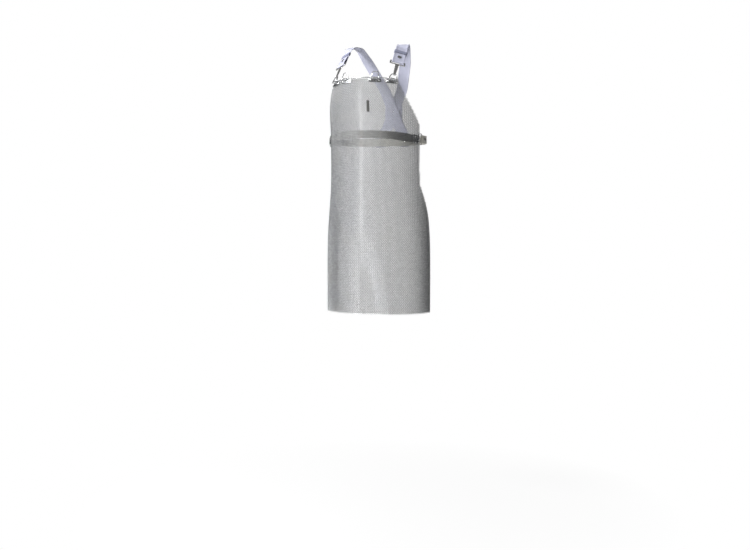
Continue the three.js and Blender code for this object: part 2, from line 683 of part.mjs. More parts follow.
function strapTail(side) {
  const { rail } = chainFrames();
  const { post, cap } = strapStudFrames(rail);
  const fold = placed(tail(LOOP_R, STRAP_WIDTH, STRAP_THICK, TAIL_LENGTH), rail);
  const band = rail.clone().setPosition(pointIn(rail, 0, KEEPER_UP, -LOOP_R));
  const put = (name, geometry, finish) => add(`strap_${name}_${side}`, onSide(side, geometry), finish);
  put('tail', cut(fold, [studBore(STRAP_THICK, cap)]), 'strap');
  put('stud_post', placed(studPost(STRAP_THICK), post), 'steel');
  put('stud_cap', placed(studCap(STRAP_THICK), cap), 'steel');
  put('keeper', placed(keeper(), band), 'strap');
  const hinge = pointIn(rail, 0, LOOP_LEAD + SEAT / 2, LOOP_R + STRAP_THICK / 2);
  joint(side, 'strap_tail', hinge.toArray(), axisOf(rail, 0));
  joint(side, 'keeper', pointIn(rail, 0, KEEPER_UP, 0).toArray(), axisOf(rail, 1), true);
}

// A corner clip, whose knuckle lines up with the strap, its ring and the T-plate.
function cornerChain(side) {
  const { ring, rail } = chainFrames();
  const wire = placed(wireRing(RING_BASE, RING_APEX, RING_HEIGHT), ring);
  clip(`corner_clip_${side}`, side, CORNER_S, ring, CORNER_LIFT);
  add(`corner_ring_${side}`, onSide(side, wire), 'steel');
  add(`t_plate_${side}`, onSide(side, placed(tPlate(), rail)), 'steel');
  joint(side, 'corner_ring', ring.elements.slice(12, 15), axisOf(ring, 0));
  joint(side, 't_plate', pointIn(ring, 0, RING_HEIGHT, 0).toArray(), axisOf(ring, 0));
}

// Where the straps cross, facing backwards from the middle of the lower strap.
function crossFrame() {
  return frameAt(new THREE.Vector3(0, BACK_Y, CROSS_Z), AXIS.x, AXIS.y);
}

function endFrame() {
  const off = BELT_THICK + STRAP_END_GAP + STRAP_THICK / 2;
  const point = onForm(-STRAP_END_S, SIDE_Z, off);
  return frameAt(point, AXIS.z, point.clone().sub(onForm(-STRAP_END_S, SIDE_Z, 0)));
}

// The patch and the rivet that hold the straps together where they cross.
function crossing() {
  const low = STRAP_LIFT + STRAP_THICK / 2 + SEAT;
  const frame = crossFrame();
  const patch = new THREE.BoxGeometry(...CROSS_PLATE, CROSS_PATCH).translate(0, 0, low + CROSS_PATCH / 2);
  add('cross_patch', cut(placed(patch, frame), [placed(drill(low, low + CROSS_PATCH), frame)]), 'strap');
  add('cross_rivet', placed(rivet(-STRAP_THICK / 2, low + CROSS_PATCH), frame), 'steel');
}

// ---- Belt ----

const BELT_LOOP_R = WIRE_R + SLOT_PLAY + BELT_THICK / 2;
const ANCHOR_KNUCKLE_S = ANCHOR_S + ANCHOR_WIDTH / 2 + KNUCKLE_R - KNUCKLE_WALL;
const BELT_BAR_S = ANCHOR_KNUCKLE_S + BELT_RING_WIDTH;

// How far down the flat mesh its point at arc length s hangs at height z.
function mailT(s, z) {
  const droop = CORNER_DROOP * (s / DROOP_OUT) ** 2;
  return (TOP_Z - droop - z) / (DRAPE_SHARE - droop / MAIL_LENGTH);
}

// The frame of the left belt ring: X down along its bars, Y backwards round the waist, Z outwards.
function beltRingFrame() {
  const foot = onForm(ANCHOR_KNUCKLE_S, SIDE_Z, 0);
  const at = onForm(ANCHOR_KNUCKLE_S, SIDE_Z, KNUCKLE_OUT);
  return frameAt(at, AXIS.z.clone().negate(), at.clone().sub(foot));
}

// Where the belt's middle line runs behind the ring's bar, and the tail's middle line over it.
function beltPoint(s, lift = 0) {
  const f = clamp((s - BELT_BAR_S) / (BELT_ON_FORM - BELT_BAR_S), 0, 1);
  return onForm(s, SIDE_Z, lerp(KNUCKLE_OUT - BELT_LOOP_R, BELT_THICK / 2, f) + lift);
}

// The middle line of the tail that folds back over the belt.
const TAIL_START_S = BELT_BAR_S + LOOP_LEAD + SEAT + BELT_TAIL_SLACK;
function beltTailPoint(s) {
  const f = clamp((s - TAIL_START_S) / BELT_TAIL, 0, 1);
  return beltPoint(s, lerp(2 * BELT_LOOP_R, BELT_THICK + TAIL_LIFT, f));
}

// The frame of the belt or its tail at the press stud, facing outwards.
function studOn(line) {
  const s = BELT_BAR_S + BELT_STUD;
  return frameAt(line(s), AXIS.z, line(s + BELT_SPAN).sub(line(s - BELT_SPAN)).cross(AXIS.z));
}

// The plate that grips the front belt and the mesh, and holds the belt ring's knuckle.
function beltAnchor(side, ringFrame) {
  const t = mailT(ANCHOR_S, SIDE_Z);
  const low = -INNER_GAP - BELT_THICK;
  const bolts = [-1, 1].map((way) => mailFrame(ANCHOR_S, t + way * ANCHOR_RIVETS / 2));
  const bores = bolts.map((frame) => placed(drill(low, PLATE_TOP), frame));
  const plate = drapedPlate(ANCHOR_S, t, ANCHOR_WIDTH, ANCHOR_HEIGHT, FRONT_OUT);
  const put = (name, geometry) => add(`anchor_${name}_${side}`, onSide(side, geometry), 'steel');
  put('plate', cut(knucklePlate(plate, ringFrame, BELT_KNUCKLE), bores));
  bolts.forEach((frame, i) => put(`rivet_${i + 1}`, placed(rivet(low - FACET, PLATE_TOP), frame)));
  return bores.map((bore) => onSide(side, bore));
}

function beltTail(side, bar) {
  const steps = 6;
  const places = Array.from({ length: steps + 1 }, (_, i) => TAIL_START_S + i * BELT_TAIL / steps);
  const line = places.map(beltTailPoint);
  const fold = ribbon(line, line.map(() => AXIS.z), BELT_WIDTH, BELT_THICK);
  const [cap, post] = [studOn(beltTailPoint), studOn(beltPoint)];
  const put = (name, geometry, finish) => add(`belt_${name}_${side}`, onSide(side, geometry), finish);
  put('tail', cut(fold, [studBore(BELT_THICK, cap)]), 'belt');
  put('stud_cap', placed(studCap(BELT_THICK + SEAT), cap), 'steel');
  put('stud_post', placed(studPost(BELT_THICK + SEAT), post), 'steel');
  const hinge = pointIn(bar, 0, LOOP_LEAD + SEAT / 2, BELT_LOOP_R + BELT_THICK / 2);
  joint(side, 'belt_tail', hinge.toArray(), AXIS.z.clone().negate());
}

function beltFront(bores) {
  const line = Array.from({ length: EDGE_SPANS + 1 }, (_, i) => {
    const s = lerp(-BELT_FRONT_HALF, BELT_FRONT_HALF, i / EDGE_SPANS);
    return onForm(s, beltZ(s), -INNER_GAP - BELT_THICK / 2);
  });
  add('belt_front', cut(ribbon(line, line.map(() => AXIS.z), BELT_WIDTH, BELT_THICK), bores), 'belt');
}

function beltRear(bar) {
  const half = loopEnd(bar, BELT_LOOP_R);
  const last = halfRound(SIDE_Z) - BELT_STEP / 2;
  for (let s = BELT_BAR_S + BELT_STEP; s < last; s += BELT_STEP) half.push(beltPoint(s));
  const line = [...half, ...half.map((p) => p.clone().applyMatrix4(MIRROR)).reverse()];
  const end = drill(-STRAP_THICK / 2 - STRAP_END_GAP - BELT_THICK, 0);
  const holes = [studBore(BELT_THICK, studOn(beltPoint)), placed(end, endFrame())];
  const both = holes.flatMap((hole) => [hole, mirrored(hole)]);
  add('belt_rear', cut(ribbon(line, line.map(() => AXIS.z), BELT_WIDTH, BELT_THICK), both), 'belt');
}

function belt() {
  const ringFrame = beltRingFrame();
  const bar = ringFrame.clone().setPosition(pointIn(ringFrame, 0, BELT_RING_WIDTH, 0));
  const ring = placed(wireRing(BELT_RING_HEIGHT, BELT_RING_HEIGHT, BELT_RING_WIDTH), ringFrame);
  const bores = SIDES.flatMap((side) => beltAnchor(side, ringFrame));
  mailHoles.push(...bores);
  for (const side of SIDES) {
    add(`belt_ring_${side}`, onSide(side, ring), 'steel');
    joint(side, 'belt_ring', ringFrame.elements.slice(12, 15), axisOf(ringFrame, 0));
    beltTail(side, bar);
  }
  beltFront(bores);
  beltRear(bar);
}

// ---- Joint axes, for whoever animates the apron: a point and a direction each ----

const joints = {};
function joint(side, name, at, axis, slide = false) {
  const mirror = side === 'right';
  const [x, y, z] = axis.toArray();
  const turned = slide ? [-x, y, z] : [x, -y, -z];
  joints[`${name}_${side}`] = {
    at: mirror ? [-at[0], at[1], at[2]] : [...at],
    axis: mirror ? turned : [x, y, z],
  };
}

// A wing folds along a straight line just outside the seam's outer edge, so that it opens without pinching.
function wingJoint(side) {
  const s = WING_SEAM + SEAT;
  const edge = (f, off) => onMail(s, lerp(wingTop(s), MAIL_LENGTH, f), off);
  const [top, low] = [edge(0, MAIL_THICK), edge(1, MAIL_THICK)];
  const whole = low.clone().sub(top);
  const out = edge(0.5, 1).sub(edge(0.5, 0));
  const bulges = [0.1, 0.3, 0.5, 0.7, 0.9].map((f) => (
    edge(f, MAIL_THICK).sub(top).addScaledVector(whole, -f).dot(out)));
  top.addScaledVector(out, Math.max(0, ...bulges) + AXIS_OUT);
  joint(side, 'wing', top.toArray(), whole.normalize());
}

// ---- Assembly ----

SIDES.forEach((side, upper) => {
  innerClip(side);
  cornerChain(side);
  shoulderStrap(side, upper === 0 ? STRAP_LIFT : 0);
  strapTail(side);
  wingJoint(side);
});
crossing();
belt();
add('mail_front', cut(frontMail(), mailHoles), 'mail');
add('mail_wing_left', wingMail(1), 'mail');
add('mail_wing_right', wingMail(-1), 'mail');
add('top_edge_wire', topWire(), 'steel');
add('size_tag', sizeTag(), 'tag');
root.userData.joints = joints;

export default root;
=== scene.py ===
# %% [markdown]
# # A butcher's ring-mesh apron, piece by piece
# The real apron is one sheet of linked steel rings. Wire rings and clips hang it from two straps that
# cross on the back, and a belt holds it at the waist. Its shape is the shape of a worn apron.
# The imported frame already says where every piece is. So this lesson only makes each piece again, finer,
# at the same place, and gives it a finish. Lengths in the formulas are millimetres, as in a workshop
# drawing, and each mesh is turned into metres when it is made.

# %% Load the frame
import json
import math

import bmesh
import bpy
import numpy as np
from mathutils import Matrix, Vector


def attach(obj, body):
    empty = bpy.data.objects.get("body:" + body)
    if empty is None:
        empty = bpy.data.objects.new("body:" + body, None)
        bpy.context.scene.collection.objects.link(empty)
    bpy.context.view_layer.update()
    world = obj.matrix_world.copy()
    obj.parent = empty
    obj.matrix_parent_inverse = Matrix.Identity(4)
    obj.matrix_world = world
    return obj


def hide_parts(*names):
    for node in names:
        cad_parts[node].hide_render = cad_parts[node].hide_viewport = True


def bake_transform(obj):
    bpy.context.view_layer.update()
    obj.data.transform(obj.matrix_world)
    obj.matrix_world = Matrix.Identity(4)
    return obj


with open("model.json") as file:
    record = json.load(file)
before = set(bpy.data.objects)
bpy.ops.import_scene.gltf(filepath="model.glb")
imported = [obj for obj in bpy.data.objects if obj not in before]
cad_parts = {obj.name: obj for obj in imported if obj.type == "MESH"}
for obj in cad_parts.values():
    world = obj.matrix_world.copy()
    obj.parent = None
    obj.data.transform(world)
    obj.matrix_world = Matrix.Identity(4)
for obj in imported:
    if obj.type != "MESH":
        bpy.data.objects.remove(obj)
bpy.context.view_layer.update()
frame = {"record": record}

MM = 0.001
BODY_OF = {n: b for b, members in frame["record"]["behaviour"]["bodies"].items() for n in members}

# %% [markdown]
# ## The camera
# The camera stands a little to the wearer's left and at hip height, far enough away to see a whole
# standing figure. A long lens would flatten the apron and a short one would swell it, so the lens is
# a normal one. It leans down only a few degrees.

# %% A helper that adds an object
def add_object(name, data):
    made = bpy.data.objects.new(name, data)
    bpy.context.scene.collection.objects.link(made)
    return made


# %% Place the camera
CAMERA_ROUND = math.radians(26)
CAMERA_DOWN = math.radians(3.87)
CAMERA_ASIDE = math.radians(0.206)
CAMERA_FAR = 3.63
CAMERA_HEIGHT = -0.493
camera_data = bpy.data.cameras.new("camera")
camera_data.sensor_width = 36
camera_data.lens = 53.3
camera = add_object("camera", camera_data)
camera.location = (
    CAMERA_FAR * math.sin(CAMERA_ROUND),
    -CAMERA_FAR * math.cos(CAMERA_ROUND),
    CAMERA_HEIGHT,
)
camera.rotation_euler = (math.pi / 2 - CAMERA_DOWN, 0, CAMERA_ROUND + CAMERA_ASIDE)
bpy.context.scene.camera = camera
print("camera at", [round(x, 2) for x in camera.location])

# %% [markdown]
# ## Shader helpers
# A material in Blender is a small graph. These helpers add one node each and hand back the socket
# that the next node needs, so that a finish below reads like a recipe.

# %% Helpers that add one node
def feed(tree, socket, value):
    if isinstance(value, bpy.types.NodeSocket):
        tree.links.new(value, socket)
    else:
        socket.default_value = value


def math_of(tree, operation, *values):
    made = tree.nodes.new("ShaderNodeMath")
    made.operation = operation
    for socket, value in zip(made.inputs, values):
        feed(tree, socket, value)
    return made.outputs[0]


def ranged(tree, value, low, high, to_low=0.0, to_high=1.0):
    made = tree.nodes.new("ShaderNodeMapRange")
    for socket, given in zip(made.inputs, (value, low, high, to_low, to_high)):
        feed(tree, socket, given)
    return made.outputs[0]


def mixed(tree, share, first, second, blend="MIX"):
    made = tree.nodes.new("ShaderNodeMix")
    made.data_type = "RGBA"
    made.blend_type = blend
    feed(tree, made.inputs[0], share)
    feed(tree, made.inputs[6], first)
    feed(tree, made.inputs[7], second)
    return made.outputs[2]


def noise(tree, scale, detail=3.0, stretch=(1, 1, 1)):
    place = tree.nodes.new("ShaderNodeTexCoord")
    mapping = tree.nodes.new("ShaderNodeMapping")
    mapping.inputs["Scale"].default_value = stretch
    tree.links.new(place.outputs["Object"], mapping.inputs["Vector"])
    made = tree.nodes.new("ShaderNodeTexNoise")
    tree.links.new(mapping.outputs[0], made.inputs["Vector"])
    feed(tree, made.inputs["Scale"], scale)
    made.inputs["Detail"].default_value = detail
    return made.outputs[0]


def bumped(tree, height, strength, distance):
    made = tree.nodes.new("ShaderNodeBump")
    made.inputs["Strength"].default_value = strength
    made.inputs["Distance"].default_value = distance
    tree.links.new(height, made.inputs["Height"])
    return made.outputs[0]


def attribute(tree, name):
    made = tree.nodes.new("ShaderNodeAttribute")
    made.attribute_name = name
    return made.outputs["Fac"]


def grey(level):
    return (level, level, level, 1.0)


# %% A helper that starts a node group
def new_group(name, inputs, outputs):
    tree = bpy.data.node_groups.new(name, "ShaderNodeTree")
    for label, value in inputs.items():
        made = tree.interface.new_socket(label, in_out="INPUT", socket_type="NodeSocketFloat")
        made.default_value = value
    for label in outputs:
        tree.interface.new_socket(label, in_out="OUTPUT", socket_type="NodeSocketFloat")
    start = tree.nodes.new("NodeGroupInput")
    end = tree.nodes.new("NodeGroupOutput")
    return tree, start.outputs, end.inputs


def use_group(tree, group, **values):
    made = tree.nodes.new("ShaderNodeGroup")
    made.node_tree = group
    for label, value in values.items():
        feed(tree, made.inputs[label.replace("_", " ")], value)
    return made.outputs


# %% [markdown]
# ## Effects that several finishes share
# Grease and washing leave cloudy marks on every piece, steel and cloth alike, so the clouds are made
# once as a node group. Each finish then places the group with its own size and strength. Fine
# scratches and rubbed edges are made the same way, and so is a weave for the straps, belt and label.

# %% Cloudy marks
CLOUDS, given, result = new_group("Cloudy Marks", {"Size": 30.0, "Cover": 0.5}, ["Mask"])
broad = noise(CLOUDS, given["Size"], 4.0)
least = math_of(CLOUDS, "SUBTRACT", 0.75, math_of(CLOUDS, "MULTIPLY", given["Cover"], 0.5))
CLOUDS.links.new(ranged(CLOUDS, broad, least, 0.85), result["Mask"])
print("group:", CLOUDS.name)

# %% Fine scratches in two directions
SCRATCHES, given, result = new_group("Fine Scratches", {"Size": 300.0}, ["Mask"])
first = noise(SCRATCHES, given["Size"], 2.0, (0.06, 1, 1))
second = noise(SCRATCHES, given["Size"], 2.0, (1, 0.9, 0.07))
together = math_of(SCRATCHES, "MAXIMUM", first, second)
SCRATCHES.links.new(ranged(SCRATCHES, together, 0.56, 0.72), result["Mask"])
print("group:", SCRATCHES.name)

# %% Rubbed edges
RUBBED, given, result = new_group("Rubbed Edges", {"Amount": 1.0}, ["Mask"])
shape_node = RUBBED.nodes.new("ShaderNodeNewGeometry")
ridge = ranged(RUBBED, shape_node.outputs["Pointiness"], 0.51, 0.58)
broken = ranged(RUBBED, noise(RUBBED, 220.0), 0.35, 0.6)
rub = math_of(RUBBED, "MULTIPLY", ridge, broken)
RUBBED.links.new(math_of(RUBBED, "MULTIPLY", rub, given["Amount"]), result["Mask"])
print("group:", RUBBED.name)

# %% A plain weave along each band
WEAVE, given, result = new_group("Plain Weave", {"Across": 0.8, "Along": 0.8}, ["Height", "Thread"])
band = WEAVE.nodes.new("ShaderNodeUVMap")
band.uv_map = "Band"
parts = WEAVE.nodes.new("ShaderNodeSeparateXYZ")
WEAVE.links.new(band.outputs[0], parts.inputs[0])
waves = []
for part, label in zip(parts.outputs, ("Across", "Along")):
    threads = math_of(WEAVE, "MULTIPLY", part, given[label])
    half_turns = math_of(WEAVE, "MULTIPLY", threads, math.pi / MM)
    waves.append(math_of(WEAVE, "SINE", half_turns))
over = math_of(WEAVE, "MULTIPLY", *waves)
WEAVE.links.new(ranged(WEAVE, over, -1.0, 1.0), result["Height"])
WEAVE.links.new(ranged(WEAVE, noise(WEAVE, 900.0, 2.0), 0.3, 0.7), result["Thread"])
print("group:", WEAVE.name)

# %% [markdown]
# ## Steel finishes
# The rings are drawn stainless wire, welded and tumbled. Their outer side is rubbed smooth by wiping
# down, and the side near the cloth stays duller and rougher, so a value stored on each ring says how far
# out a point lies. The same value paints shade on the inner side by darkening its colour. Another value
# gives each ring a slightly different tone. The clips and plates are polished, with fine scratches.
# The T-plates are thicker and were only brushed.

# %% Start a material
FINISH = {}


def new_finish(name):
    material = bpy.data.materials.new(name)
    material.use_nodes = True
    FINISH[name] = material
    return material.node_tree, material.node_tree.nodes["Principled BSDF"].inputs


def finished(tree, shader, colour, roughness, normal, metal=1.0):
    shader["Metallic"].default_value = metal
    for label, value in (("Base Color", colour), ("Roughness", roughness), ("Normal", normal)):
        tree.links.new(value, shader[label])


# %% Ring wire
tree, shader = new_finish("ring wire")
tone = attribute(tree, "ring_tone")
crown = attribute(tree, "crown")
wire_colour = mixed(tree, tone, (0.30, 0.305, 0.315, 1), (0.49, 0.495, 0.51, 1))
# Painted shade: where crown is low, on the inner side of each ring, the colour is darkened towards near
# black. The rougher steel there, set below, is real.
wire_colour = mixed(tree, crown, mixed(tree, 0.45, wire_colour, (0.17, 0.17, 0.165, 1)), wire_colour)
marks = use_group(tree, CLOUDS, Size=14.0, Cover=0.6)["Mask"]
wire_colour = mixed(tree, math_of(tree, "MULTIPLY", marks, 0.3), wire_colour, (0.36, 0.35, 0.31, 1))
dull = math_of(tree, "ADD", ranged(tree, crown, 0.0, 1.0, 0.5, 0.34), math_of(tree, "MULTIPLY", marks, 0.12))
finished(tree, shader, wire_colour, dull, bumped(tree, noise(tree, 2500.0), 0.25, 0.0001))

# %% Polished steel
tree, shader = new_finish("polished steel")
scratch = use_group(tree, SCRATCHES, Size=420.0)["Mask"]
marks = use_group(tree, CLOUDS, Size=90.0, Cover=0.5)["Mask"]
edges = use_group(tree, RUBBED, Amount=0.8)["Mask"]
colour = mixed(tree, math_of(tree, "MULTIPLY", marks, 0.4), (0.60, 0.61, 0.62, 1), (0.36, 0.355, 0.34, 1))
colour = mixed(tree, edges, colour, (0.86, 0.86, 0.86, 1))
worn = math_of(tree, "MULTIPLY", math_of(tree, "MAXIMUM", scratch, marks), 0.16)
finished(tree, shader, colour, math_of(tree, "ADD", worn, 0.19), bumped(tree, scratch, 0.12, 0.0001))

# %% Brushed steel
tree, shader = new_finish("brushed steel")
brushing = noise(tree, 1500.0, 2.0, (1, 1, 0.03))
scratch = use_group(tree, SCRATCHES, Size=260.0)["Mask"]
marks = use_group(tree, CLOUDS, Size=60.0, Cover=0.6)["Mask"]
edges = use_group(tree, RUBBED, Amount=1.0)["Mask"]
colour = mixed(tree, brushing, (0.58, 0.58, 0.575, 1), (0.72, 0.72, 0.715, 1))
colour = mixed(tree, math_of(tree, "MULTIPLY", marks, 0.35), colour, (0.42, 0.41, 0.38, 1))
colour = mixed(tree, edges, colour, (0.85, 0.85, 0.85, 1))
worn = math_of(tree, "ADD", math_of(tree, "MULTIPLY", marks, 0.12), math_of(tree, "MULTIPLY", scratch, 0.08))
finished(tree, shader, colour, math_of(tree, "ADD", worn, 0.24), bumped(tree, brushing, 0.15, 0.0001))
print("steel finishes:", list(FINISH))

# %% [markdown]
# ## Strap, belt and label finishes
# The straps are webbing coated with soft plastic, which is easy to wipe clean. The coating follows
# the weave, so the weave is a faint height under a satin shine, and the rubbed edges are paler. The
# keepers are the same stuff, darker. The belt is plain woven webbing, matt and a little stained.

# %% A finish for any woven band
def woven(name, dark, pale, rough, across, along, relief, sheen=0.0):
    tree, shader = new_finish(name)
    weave = use_group(tree, WEAVE, Across=across, Along=along)
    marks = use_group(tree, CLOUDS, Size=28.0, Cover=0.6)["Mask"]
    edges = use_group(tree, RUBBED, Amount=0.7)["Mask"]
    share = math_of(tree, "MULTIPLY", math_of(tree, "ADD", weave["Height"], weave["Thread"]), 0.5)
    colour = mixed(tree, share, (*dark, 1), (*pale, 1))
    stained = mixed(tree, 0.35, colour, (*[0.55 * c for c in dark], 1))
    colour = mixed(tree, math_of(tree, "MULTIPLY", marks, 0.6), colour, stained)
    rubbed = mixed(tree, 0.5, colour, (*[min(1.3 * c, 1) for c in pale], 1))
    colour = mixed(tree, edges, colour, rubbed)
    rough_here = math_of(tree, "ADD", rough, math_of(tree, "MULTIPLY", marks, 0.12))
    finished(tree, shader, colour, rough_here, bumped(tree, weave["Height"], relief, 0.0003), 0.0)
    shader["Sheen Weight"].default_value = sheen
    shader["Sheen Roughness"].default_value = 0.5


woven("strap coating", (0.42, 0.43, 0.54), (0.56, 0.57, 0.69), 0.42, 0.9, 0.9, 0.35)
woven("keeper coating", (0.19, 0.20, 0.28), (0.28, 0.29, 0.39), 0.45, 0.9, 0.9, 0.35)
woven("belt webbing", (0.52, 0.51, 0.46), (0.68, 0.67, 0.60), 0.75, 0.7, 1.2, 0.8, 0.25)
woven("label cloth", (0.045, 0.045, 0.042), (0.10, 0.10, 0.095), 0.8, 2.5, 2.5, 0.5, 0.2)
woven("sewing thread", (0.30, 0.31, 0.33), (0.52, 0.53, 0.55), 0.7, 4.0, 4.0, 0.5, 0.2)
print("finishes:", list(FINISH))

# %% [markdown]
# ## The floor and the studio
# The floor is plain and pale, as far down as the wearer's soles would be, because the apron hangs
# at wearing height. Polished steel shows what stands round it, so the room has one strong soft lamp on
# the viewer's left, a weak one on the right, and dim walls that are darkest low down. Only the camera
# sees them as white, and the far floor too. The light path node tells the camera's rays from the others.

# %% A helper that shows one shader or another
def shown(tree, share, first, second, end):
    made = tree.nodes.new("ShaderNodeMixShader")
    for socket, value in zip(made.inputs, (share, first.outputs[0], second.outputs[0])):
        tree.links.new(value, socket)
    tree.links.new(made.outputs[0], tree.nodes[end].inputs["Surface"])


def camera_only(tree):
    return tree.nodes.new("ShaderNodeLightPath").outputs["Is Camera Ray"]


# %% Floor
FLOOR_Z = -1.5
floor_mesh = bpy.data.meshes.new("floor")
reach = 30.0
corners = [(x * reach, y * reach, FLOOR_Z) for x, y in ((-1, -1), (1, -1), (1, 1), (-1, 1))]
floor_mesh.from_pydata(corners, [], [(0, 1, 2, 3)])
add_object("floor", floor_mesh)

# %% Pale floor that grows white far away
tree, shader = new_finish("pale floor")
shader["Base Color"].default_value = grey(0.86)
shader["Roughness"].default_value = 0.8
glow = tree.nodes.new("ShaderNodeEmission")
place = tree.nodes.new("ShaderNodeTexCoord")
far = tree.nodes.new("ShaderNodeVectorMath")
far.operation = "LENGTH"
tree.links.new(place.outputs["Object"], far.inputs[0])
share = math_of(tree, "MULTIPLY", ranged(tree, far.outputs["Value"], 0.3, 1.8), camera_only(tree))
shown(tree, share, tree.nodes["Principled BSDF"], glow, "Material Output")
floor_mesh.materials.append(FINISH["pale floor"])

# %% Studio surroundings
world = bpy.data.worlds.new("studio")
world.use_nodes = True
bpy.context.scene.world = world
tree = world.node_tree
seen = tree.nodes["Background"]
seen.inputs["Color"].default_value = grey(1.0)
lit = tree.nodes.new("ShaderNodeBackground")
place = tree.nodes.new("ShaderNodeTexCoord")
parts = tree.nodes.new("ShaderNodeSeparateXYZ")
tree.links.new(place.outputs["Generated"], parts.inputs[0])
high = ranged(tree, parts.outputs[2], -0.05, 0.75)
tree.links.new(mixed(tree, high, grey(0.2), grey(1.0)), lit.inputs["Color"])
lit.inputs["Strength"].default_value = 0.2
shown(tree, camera_only(tree), lit, seen, "World Output")
bpy.context.scene.view_settings.view_transform = "Standard"

# %% Lamps
def lamp(name, round_degrees, height, far_away, size, watts):
    data = bpy.data.lights.new(name, "AREA")
    data.size = size
    data.energy = watts
    made = add_object(name, data)
    angle = math.radians(round_degrees)
    made.location = (far_away * math.sin(angle), -far_away * math.cos(angle), height)
    aim = Vector((0, 0, -0.45)) - made.location
    made.rotation_mode = "QUATERNION"
    made.rotation_quaternion = aim.to_track_quat("-Z", "Y")


lamp("key lamp", -38, 1.5, 3.4, 1.2, 275)
lamp("fill lamp", 70, 0.4, 3.4, 1.6, 6)
lamp("back lamp", 200, 1.6, 3.0, 1.4, 18)
print("lamps:", len(bpy.data.lights))

# %% [markdown]
# ## The wearer's form
# The apron keeps the shape of the body that wears it. That body isn't made here, but its outline is
# needed, as a dressmaker needs a stand. At each height it is an oval with its own half width, front
# depth and back depth, and a smooth curve runs through the heights.

# %% The form's sizes at a height
FORM = np.array([
    [-100, 150, 136, 100],
    [-165, 160, 142, 108],
    [-296, 158, 133, 105],
    [-446, 158, 135, 102],
    [-623, 171, 137, 115],
    [-858, 173, 135, 110],
], float)
ABOVE = np.vstack([FORM[:1], FORM[:-1]])
BELOW = np.vstack([FORM[1:], FORM[-1:]])
LEAN = (BELOW - ABOVE) / (BELOW - ABOVE)[:, :1]


def form_size(z, column):
    z = np.asarray(z, float)
    i = (z[..., None] < FORM[1:-1, 0]).sum(-1)
    step = FORM[i + 1, 0] - FORM[i, 0]
    f = np.clip((z - FORM[i, 0]) / step, 0, 1)
    rise = FORM[i + 1, column] - FORM[i, column]
    curve = LEAN[i, column] * f * (1 - f) ** 2 - LEAN[i + 1, column] * f * f * (1 - f)
    return FORM[i, column] + rise * f * f * (3 - 2 * f) + step * curve


print("half width at the waist:", round(float(form_size(-296, 1)), 1))

# %% Measure round the form
ARC_PIECES = 90
TURNS = (np.arange(ARC_PIECES) + 0.5) * math.pi / ARC_PIECES


def round_pieces(z):
    a, front, back = (form_size(z, column)[..., None] for column in (1, 2, 3))
    depth = np.where(TURNS < math.pi / 2, front, back)
    return np.hypot(a * np.cos(TURNS), depth * np.sin(TURNS)) * math.pi / ARC_PIECES


def half_round(z):
    return float(round_pieces(z).sum())


def angle_at(s, z):
    pieces = round_pieces(z)
    reached = np.cumsum(pieces, -1)
    i = np.minimum((reached < np.abs(s)[..., None]).sum(-1), ARC_PIECES - 1)
    here = np.take_along_axis(pieces, i[..., None], -1)[..., 0]
    before = np.take_along_axis(reached, i[..., None], -1)[..., 0] - here
    return np.sign(s) * (i + (np.abs(s) - before) / here) * math.pi / ARC_PIECES


print("half way round the waist:", round(half_round(-296)))

# %% The hollow between the legs
CROTCH_Z = -600
HEM_Z = -858
VALLEY_DEPTH = 14
VALLEY_HALF = 38
VALLEY_X = (12, 45)


def valley(x, z):
    down = np.clip((CROTCH_Z - z) / (CROTCH_Z - HEM_Z), 0, 1)
    centre = VALLEY_X[0] + (VALLEY_X[1] - VALLEY_X[0]) * down
    return VALLEY_DEPTH * down * (2 - down) * np.exp(-(((x - centre) / VALLEY_HALF) ** 2))


# %% A point on the form
def on_form(s, z, off=0.0):
    s, z, off = np.broadcast_arrays(np.asarray(s, float), np.asarray(z, float), np.asarray(off, float))
    angle = angle_at(s, z)
    a = form_size(z, 1)
    front = np.abs(angle) < math.pi / 2
    depth = np.where(front, form_size(z, 2), form_size(z, 3))
    out = np.stack([np.sin(angle) / a, -np.cos(angle) / depth, 0 * a], -1)
    out /= np.linalg.norm(out, axis=-1, keepdims=True)
    x = a * np.sin(angle)
    y = -depth * np.cos(angle) + np.where(front, valley(x, z), 0)
    return np.stack([x, y, z], -1) + off[..., None] * out


print("front of the waist:", on_form(0, -296).round(1))

# %% [markdown]
# ## Where the mesh hangs
# The flat mesh has its own two directions: s runs across and t runs down from the top edge. It is cut
# narrow over the chest and wide over the legs. Its top row sags a little towards the corners, and it
# rides over the thick front edge of the coat beneath, which leaves one soft crease down the middle.

# %% From the flat cut to the hanging mesh
MAIL_LENGTH = 750
MAIL_THICK = 3
OUTLINE = np.array([[0, 125], [47, 152], [104, 190], [127, 203], [200, 203], [320, 206], [435, 275]], float)
TOP_Z = -113
DRAPE_SHARE = 0.993
CORNER_DROOP = 22
DROOP_OUT = 200
CREASE_RISE = 3.4
CREASE_SOFT = 26
CREASE_SHARP = 7
CREASE_FROM = 5
CREASE_GROWN = 45
CREASE_FADING = 440
CREASE_GONE = 560


def half_width(t):
    return np.interp(t, OUTLINE[:, 0], OUTLINE[:, 1])


def on_mail(s, t, off=0.0):
    s = np.asarray(s, float)
    t = np.asarray(t, float)
    droop = CORNER_DROOP * (1 - t / MAIL_LENGTH) * (s / DROOP_OUT) ** 2
    return on_form(s, TOP_Z - DRAPE_SHARE * t - droop, off)


def crease(s, t):
    rise = np.where(s < 0, np.exp(-((s / CREASE_SOFT) ** 2)), np.exp(-((s / CREASE_SHARP) ** 2)))
    grown = np.clip((t - CREASE_FROM) / (CREASE_GROWN - CREASE_FROM), 0, 1)
    left = np.clip((CREASE_GONE - t) / (CREASE_GONE - CREASE_FADING), 0, 1)
    return CREASE_RISE * rise * grown * left


print("hem centre:", on_mail(0, MAIL_LENGTH).round(1))

